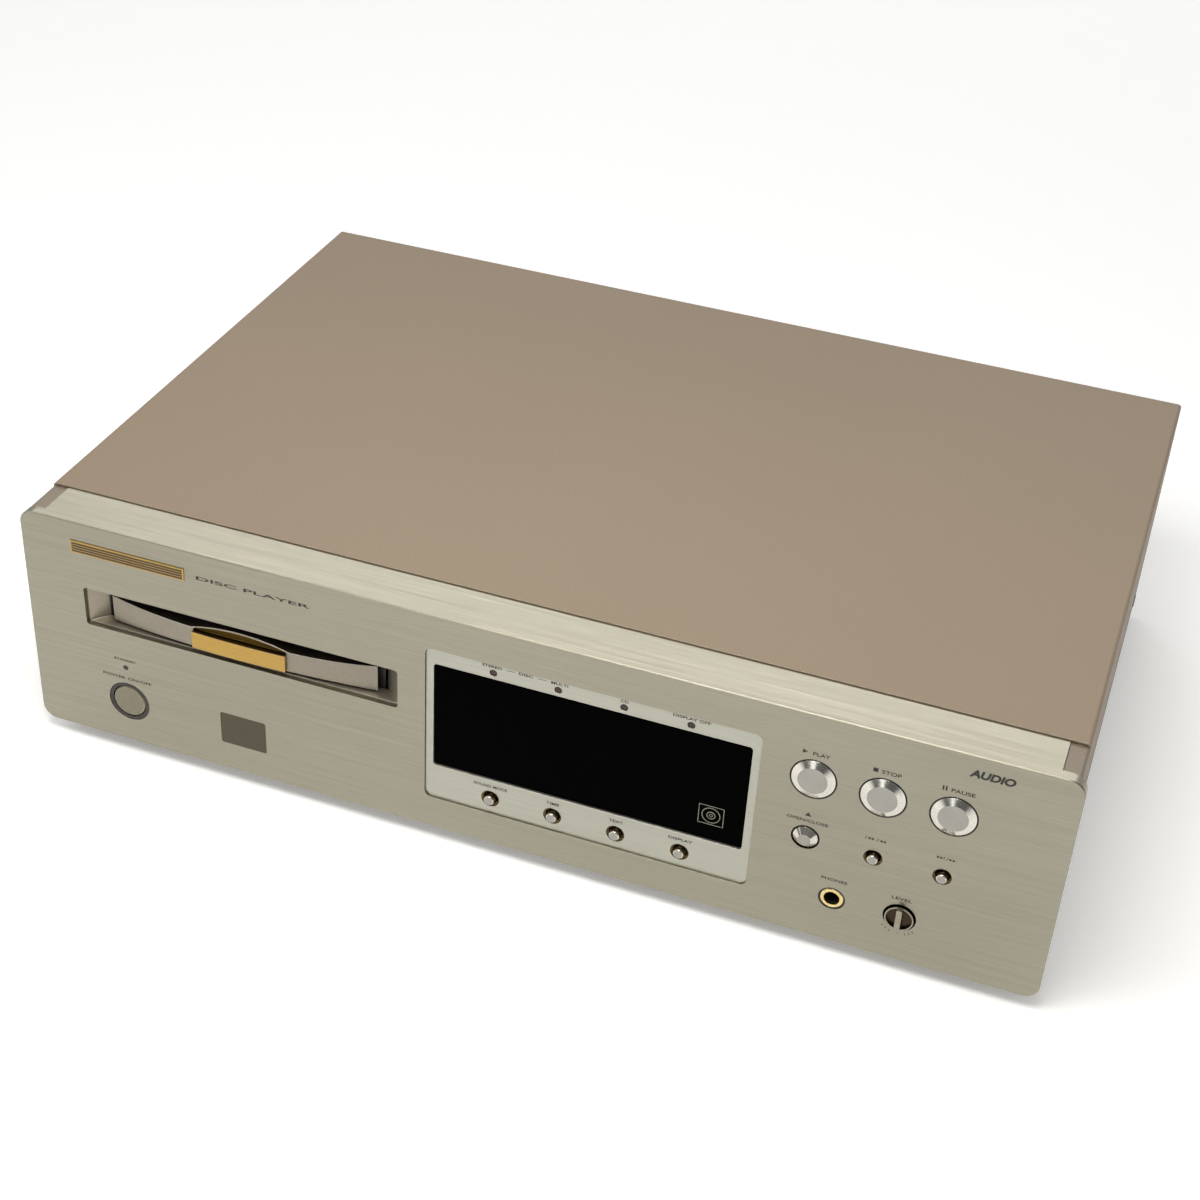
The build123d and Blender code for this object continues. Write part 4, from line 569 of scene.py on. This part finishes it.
# Signs and words, in millimetres.
LABEL_RISE = 11.2           # from the middle of a large button up to its word
SIGN_LIFT = 0.1             # a sign stands this much above the foot of its word
TRIANGLE_TALL = 1.9
SKIP_RISE = 8.4             # from the middle of a skip button up to its signs
SKIP_HALF = 0.6             # half the length of a skip triangle
SKIP_TALL = 1.3
SKIP_BAR = 0.3
TICK_RADIUS = 8.3           # from the knob's axis to the middle of a tick
TICK_ANGLES = (22, 34, 46)  # degrees from straight down, on both sides
TICK_HALF_LONG = 0.55
TICK_HALF_WIDE = 0.14
BADGE_ROWS = 4
BADGE_EDGE = 0.6            # plain border above and below the badge's lines
BADGE_SIDE = 1.4            # plain border at the badge's two ends together
KEY_RISE = 5.7              # from the middle of a display key up to its word
LAMP_RISE = 2.3             # from the middle of an indicator up to its word
LAMP_TALL = 1.3
DASH_LONG = 3.4
DASH_TALL = 0.16

# Word, the node it belongs to, shift to the right, rise from the node's middle, width and height.
PANEL_WORDS = (
    ("PLAY", "play_button", 1.9, LABEL_RISE, 6.7, 1.7),
    ("STOP", "stop_button", 1.8, LABEL_RISE, 7.5, 1.7),
    ("PAUSE", "pause_button", 1.8, LABEL_RISE, 8.9, 1.7),
    ("AUDIO", "pause_button", 11.0, 20.4, 17.0, 3.6),
    ("OPEN/CLOSE", "open_button", 0.0, 7.6, 16.4, 1.4),
    ("PHONES", "phones_ring", 0.0, 8.8, 10.3, 1.4),
    ("LEVEL", "level_knob", -0.2, 8.7, 8.0, 1.4),
    ("STANDBY", "standby_led", 0.0, 3.3, 10.4, 1.1),
    ("POWER ON/OFF", "power_button", 0.0, 11.6, 23.4, 1.3),
)
PLAIN_STYLE = (0.0, 0.014)  # a word's slant and the extra weight of its strokes
BOLD_STYLE = (0.2, 0.045)


def words(text, x, height, width, tall, face, style=PLAIN_STYLE):
    """Adds a word as flat letters: centred on x, standing on a height, fitted to a width and a height."""
    curve = bpy.data.curves.new(text, "FONT")
    curve.body = text
    curve.extrude = 0.5
    curve.shear, curve.offset = style
    source = bpy.data.objects.new(text, curve)
    scene.collection.objects.link(source)
    bpy.context.view_layer.update()
    mesh = bpy.data.meshes.new_from_object(source)
    xs = [v.co.x for v in mesh.vertices]
    ys = [v.co.y for v in mesh.vertices]
    wide = max(xs) - min(xs)
    high = max(ys) - min(ys)
    for v in mesh.vertices:
        across = (v.co.x - (max(xs) + min(xs)) / 2) / wide * width * MM
        up = (v.co.y - min(ys)) / high * tall * MM
        v.co = (x * MM + across, face - PRINT * (0.5 - v.co.z), SILL + height * MM + up)
    bpy.data.objects.remove(source)
    bpy.data.curves.remove(curve)
    return mesh


def add_outlines(bm, outlines, face):
    """Adds printed shapes to a bmesh: outlines of (x, z) in millimetres."""
    for outline in outlines:
        flat_shape(bm, [(x * MM, SILL + z * MM) for x, z in outline], face - PRINT, face)


def join_print(name, meshes, outlines, material, face):
    """One printed piece from word meshes and flat outlines."""
    bm = bmesh.new()
    for mesh in meshes:
        bm.from_mesh(mesh)
        bpy.data.meshes.remove(mesh)
    add_outlines(bm, outlines, face)
    mesh_object(name, bm, "chassis", material)


def triangle(x, z, half, tall, direction):
    """A triangle standing on z, pointing right (1), left (-1) or up (0)."""
    if direction == 0:
        return [(x - half, z), (x + half, z), (x, z + tall)]
    return [(x - direction * half, z), (x + direction * half, z + tall / 2), (x - direction * half, z + tall)]


def bar(x, z, width, tall):
    """An upright rectangle standing on z, centred on x."""
    return [(x - width / 2, z), (x + width / 2, z), (x + width / 2, z + tall), (x - width / 2, z + tall)]


def millimetres(node):
    """Lowest and highest corner of a node, in millimetres from the panel's middle and lower edge."""
    low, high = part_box(node)
    origin = Vector((0.0, FACE, SILL))
    return (Vector(low) - origin) / MM, (Vector(high) - origin) / MM


def centre(node):
    """Middle of a node seen from the front, in millimetres."""
    low, high = millimetres(node)
    return (low.x + high.x) / 2, (low.z + high.z) / 2


def button_signs():
    """The signs over the play, stop, pause and open buttons."""
    play_x, play_z = centre("play_button")
    stop_x = centre("stop_button")[0]
    pause_x = centre("pause_button")[0]
    open_x, open_z = centre("open_button")
    foot = play_z + LABEL_RISE
    return [
        triangle(play_x - 4.4, foot + SIGN_LIFT, 1.0, TRIANGLE_TALL, 1),
        bar(stop_x - 4.3, foot + SIGN_LIFT, 1.9, 1.8),
        bar(pause_x - 5.7, foot, 0.65, 2.0),
        bar(pause_x - 4.5, foot, 0.65, 2.0),
        triangle(open_x, open_z + 10.6, 1.3, TRIANGLE_TALL, 0),
    ]


def skip_signs(name, way):
    """Over a skip button: two triangles with their bar, a slanting stroke, and two more triangles."""
    x, z = centre(name)
    low = z + SKIP_RISE
    high = low + SKIP_TALL
    bar_shift = -3.9 if way < 0 else -0.55
    stroke = [(x + 0.2, low - 0.1), (x + 0.5, low - 0.1), (x + 1.1, high + 0.1), (x + 0.8, high + 0.1)]
    signs = [triangle(x + shift - SKIP_HALF, low, SKIP_HALF, SKIP_TALL, way) for shift in (-2.1, -0.8)]
    signs += [bar(x + bar_shift, low, SKIP_BAR, SKIP_TALL), stroke]
    signs += [triangle(x + shift, low, SKIP_HALF, SKIP_TALL, way) for shift in (2.0, 3.3)]
    return signs


def level_ticks():
    """Short strokes round the lower half of the level knob."""
    knob_x, knob_z = centre("level_knob")
    ticks = []
    for side in (-1, 1):
        for angle in TICK_ANGLES:
            turn = math.radians(-90 + side * angle)
            outward = Vector((math.cos(turn), math.sin(turn)))
            middle = Vector((knob_x, knob_z)) + TICK_RADIUS * outward
            along = TICK_HALF_LONG * outward
            across = TICK_HALF_WIDE * Vector((-outward.y, outward.x))
            ticks.append([
                middle - along - across, middle + along - across,
                middle + along + across, middle - along + across,
            ])
    return ticks


def badge_lines():
    """Level lines that fill the badge."""
    low, high = millimetres("badge_plaque")
    pitch = (high.z - low.z - 2 * BADGE_EDGE) / BADGE_ROWS
    lines = []
    for row in range(BADGE_ROWS):
        foot = low.z + BADGE_EDGE + (row + 0.15) * pitch
        lines.append(bar((low.x + high.x) / 2, foot, high.x - low.x - BADGE_SIDE, 0.7 * pitch))
    return lines


def make_prints():
    """Function words and signs on the panel and on the display's surround, and lines on the badge."""
    outlines = button_signs() + skip_signs("previous_button", -1) + skip_signs("next_button", 1)
    outlines += level_ticks()
    meshes = []
    for text, node, shift, rise, width, tall in PANEL_WORDS:
        x, z = centre(node)
        style = BOLD_STYLE if text == "AUDIO" else PLAIN_STYLE
        meshes.append(words(text, x + shift, z + rise, width, tall, FACE, style))
    badge_low, badge_high = millimetres("badge_plaque")
    meshes.append(words("DISC PLAYER", badge_high.x + 31.0, badge_low.z + 2.3, 51.0, 1.7, FACE))
    join_print("badge_lines", [], badge_lines(), print_bronze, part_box("badge_plaque")[0].y)
    join_print("panel_print", meshes, outlines, print_dark, FACE)

    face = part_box("display_bezel")[0].y
    first, second, third, fourth = [centre(name)[0] for name in KEYS]
    between = (first + second) / 2
    key_z = centre("sound_key")[1]
    lamp_z = centre("indicator_lenses")[1]
    meshes = []
    for text, x, width in (
        ("SOUND MODE", first, 14.8), ("TIME", second, 5.6),
        ("TEXT", third, 6.0), ("DISPLAY", fourth, 10.0),
    ):
        meshes.append(words(text, x, key_z + KEY_RISE, width, 1.4, face))
    for text, x, width in (
        ("STEREO", first - 0.6, 8.4), ("DISC", between, 6.0), ("MULTI", second + 0.5, 7.0),
        ("CD", third, 3.2), ("DISPLAY OFF", fourth, 15.0),
    ):
        meshes.append(words(text, x, lamp_z + LAMP_RISE, width, LAMP_TALL, face))
    dash_z = lamp_z + 2.9
    dashes = [
        bar((first + 3.9 + between - 3.3) / 2, dash_z, DASH_LONG, DASH_TALL),
        bar((second - 3.3 + between + 3.3) / 2, dash_z, DASH_LONG, DASH_TALL),
    ]
    join_print("bezel_print", meshes, dashes, print_dark, face)


def make_disc_sign():
    """A plain disc sign printed on the window near its lower right corner: a frame round three rings."""
    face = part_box("display_window")[0].y
    low, high = millimetres("display_window")
    x = high.x - 13.7
    z = low.z + 12.1
    half_wide = 5.2
    half_high = 4.7
    line = 0.25
    side_tall = 2 * half_high - 2 * line
    bm = bmesh.new()
    add_outlines(bm, [
        bar(x, z - half_high, 2 * half_wide, line),
        bar(x, z + half_high - line, 2 * half_wide, line),
        bar(x - half_wide + line / 2, z - half_high + line, line, side_tall),
        bar(x + half_wide - line / 2, z - half_high + line, line, side_tall),
    ], face)
    for inner, outer in ((3.5, 3.8), (1.5, 1.8), (0.5, 0.75)):
        ring_shape(bm, x * MM, SILL + z * MM, inner * MM, outer * MM, face - PRINT, face)
    mesh_object("disc_sign", bm, "chassis", print_pale)


# ---------------------------------------------------------------- trim and painted shade round the buttons
DISH_DEPTH = 1.2            # depth of the dishes round the small buttons
DISH_BOW = 0.048            # how far a key's dish bows from a straight cone
DISH_STEPS = 8
LINER = 0.05                # thickness of the polished liners
SUNK = 0.01                 # the liners' back edges stay at least this far behind the face
LARGE_HOLE = 9.05           # radius of the panel's holes for play, stop and pause
OPEN_HOLE = 5.2
GAP_SHADE_LOOSE = 0.01           # between a ring of painted shade and its hole
GAP_SHADE_INSET = 0.12           # from the hole to that ring's inner face
GAP_SHADE_REAR = 3.0             # depth of that ring's rear end
EDGE_SHADOW_WIDE = 0.22          # width of a dark ring on the face round a large hole, painted shadow at the hole's edge
EDGE_SHADOW_PROUD = 0.02
EDGE_SHADOW_SUNK = 0.01

# Radii of a dish at the panel's face and at the button's hole.
KEY_DISH = (4.0, 2.42)
SKIP_DISH = (3.8, 2.32)
OPEN_DISH = (5.7, 5.22)


def make_dish(name, face, radii, bow):
    """A polished dark liner in the shallow dish round a small button; its dark colour is partly the dish's
    own darker metal and partly painted shade.
    """
    mouth, hole = radii
    front = []
    for step in range(DISH_STEPS + 1):
        inward = step / DISH_STEPS
        depth = DISH_DEPTH * inward - LINER - bow * math.sin(math.pi * inward)
        front.append((mouth + (hole - mouth) * inward, depth))
    back = [(hole, DISH_DEPTH), (mouth, 0.0)]
    profile = [(radius * MM, face + max(SUNK, depth) * MM) for radius, depth in front + back]
    x, z = centre(name)
    bm = bmesh.new()
    turned_shape(bm, x * MM, SILL + z * MM, profile)
    mesh_object(name + "_dish", bm, "chassis", dish_finish_and_shade, smooth=True)


def make_dishes():
    """The liners of all the dishes: the display keys', the skip buttons' and the open button's."""
    display_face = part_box("display_bezel")[0].y
    for name in KEYS:
        make_dish(name, display_face, KEY_DISH, DISH_BOW)
    for name in ("previous_button", "next_button"):
        make_dish(name, FACE, SKIP_DISH, DISH_BOW)
    make_dish("open_button", FACE, OPEN_DISH, 0.0)


def make_gap_shade_ring(name, hole, front, edge_shadow):
    """A dark ring of painted shade in the gap round a button, with a thin ring of painted shadow on the face
    round the hole if asked.
    """
    x, z = centre(name)
    inner = (hole - GAP_SHADE_INSET) * MM
    outer = (hole - GAP_SHADE_LOOSE) * MM
    bm = bmesh.new()
    ring_shape(bm, x * MM, SILL + z * MM, inner, outer, FACE + front * MM, FACE + GAP_SHADE_REAR * MM)
    if edge_shadow:
        ring_shape(
            bm, x * MM, SILL + z * MM, hole * MM, (hole + EDGE_SHADOW_WIDE) * MM,
            FACE - EDGE_SHADOW_PROUD * MM, FACE + EDGE_SHADOW_SUNK * MM,
        )
    mesh_object(name + "_gap_shade", bm, "chassis", gap_shade_plastic)


def make_gap_shade_rings():
    """The rings of painted shade in the gaps round the three large buttons and the open button."""
    for name in ("play_button", "stop_button", "pause_button"):
        make_gap_shade_ring(name, LARGE_HOLE, 0.15, True)
    make_gap_shade_ring("open_button", OPEN_HOLE, DISH_DEPTH + 0.05, False)


# ---------------------------------------------------------------- stage
FLOOR_FRONT = -3.0
FLOOR_REAR = 2.0            # where the floor starts to curve up
FLOOR_SIDE = 5.0
FLOOR_TOP = 4.0
FLOOR_CURVE = 1.2           # radius of the curve
FLOOR_STEPS = 24


def make_floor():
    """A plain pale floor that curves up behind the object."""
    bm = bmesh.new()
    profile = [(FLOOR_FRONT, 0.0), (FLOOR_REAR, 0.0)]
    for step in range(1, FLOOR_STEPS + 1):
        turn = math.pi / 2 * step / FLOOR_STEPS
        back = FLOOR_REAR + FLOOR_CURVE * math.sin(turn)
        profile.append((back, FLOOR_CURVE - FLOOR_CURVE * math.cos(turn)))
    profile.append((FLOOR_REAR + FLOOR_CURVE, FLOOR_TOP))
    left = [bm.verts.new((-FLOOR_SIDE, y, z)) for y, z in profile]
    right = [bm.verts.new((FLOOR_SIDE, y, z)) for y, z in profile]
    for step in range(len(profile) - 1):
        bm.faces.new((left[step], left[step + 1], right[step + 1], right[step]))
    mesh = bpy.data.meshes.new("floor")
    bm.to_mesh(mesh)
    bm.free()
    for polygon in mesh.polygons:
        polygon.use_smooth = True
    floor = bpy.data.objects.new("floor", mesh)
    scene.collection.objects.link(floor)
    m = Material("floor_paper")
    m.set(Base_Color=(0.9, 0.9, 0.9, 1), Roughness=m.spread(m.noise(40.0), 0.8, 0.9))
    m.set(Emission_Color=(1.0, 0.995, 0.98, 1), Emission_Strength=0.24)
    mesh.materials.append(m.material)


def area_light(name, place, target, size, power, colour=(1, 1, 1)):
    """A soft rectangular light aimed at a point."""
    data = bpy.data.lights.new(name, "AREA")
    data.shape = "RECTANGLE"
    data.size, data.size_y = size
    data.energy = power
    data.color = colour
    light = bpy.data.objects.new(name, data)
    scene.collection.objects.link(light)
    light.location = place
    light.rotation_mode = "QUATERNION"
    light.rotation_quaternion = (Vector(target) - Vector(place)).to_track_quat("-Z", "Y")


def make_world():
    """An even pale room, a little brighter above than below."""
    world = bpy.data.worlds.new("studio")
    world.use_nodes = True
    scene.world = world
    tree = world.node_tree
    coords = tree.nodes.new("ShaderNodeTexCoord")
    split = tree.nodes.new("ShaderNodeSeparateXYZ")
    tree.links.new(coords.outputs["Generated"], split.inputs[0])
    rise = tree.nodes.new("ShaderNodeMapRange")
    tree.links.new(split.outputs["Z"], rise.inputs["Value"])
    for key, value in (("From Min", -0.2), ("From Max", 0.9), ("To Min", 0.1), ("To Max", 0.28)):
        rise.inputs[key].default_value = value
    tree.links.new(rise.outputs["Result"], tree.nodes["Background"].inputs["Strength"])
    tree.nodes["Background"].inputs["Color"].default_value = (1.0, 0.99, 0.97, 1)


def make_lights():
    """Soft light: a sheet high behind, two cards at the front, a key at the left, a strip at the right."""
    area_light("rear_sheet", (-0.2, 1.9, 1.7), (0.15, 0.0, 0.1), size=(3.2, 0.45), power=21)
    area_light(
        "top_front", (0.0, -0.4, 0.75), (0.0, -0.12, 0.1),
        size=(0.5, 0.3), power=4.8, colour=(1.0, 0.98, 0.95),
    )
    area_light(
        "left_key", (-1.5, -0.6, 1.1), (0, 0, 0.05),
        size=(1.4, 1.4), power=8, colour=(0.98, 1.0, 0.97),
    )
    area_light("right_strip", (1.6, 0.6, 0.9), (0.2, 0, 0.05), size=(0.3, 0.9), power=2)
    area_light("front_card", (-0.55, -2.2, 0.6), (0.1, -0.15, 0.07), size=(0.9, 0.35), power=1.6)


make_camera()
finish_nodes()
make_prints()
make_disc_sign()
make_dishes()
make_gap_shade_rings()
make_floor()
make_world()
make_lights()
scene.view_settings.view_transform = "Standard"
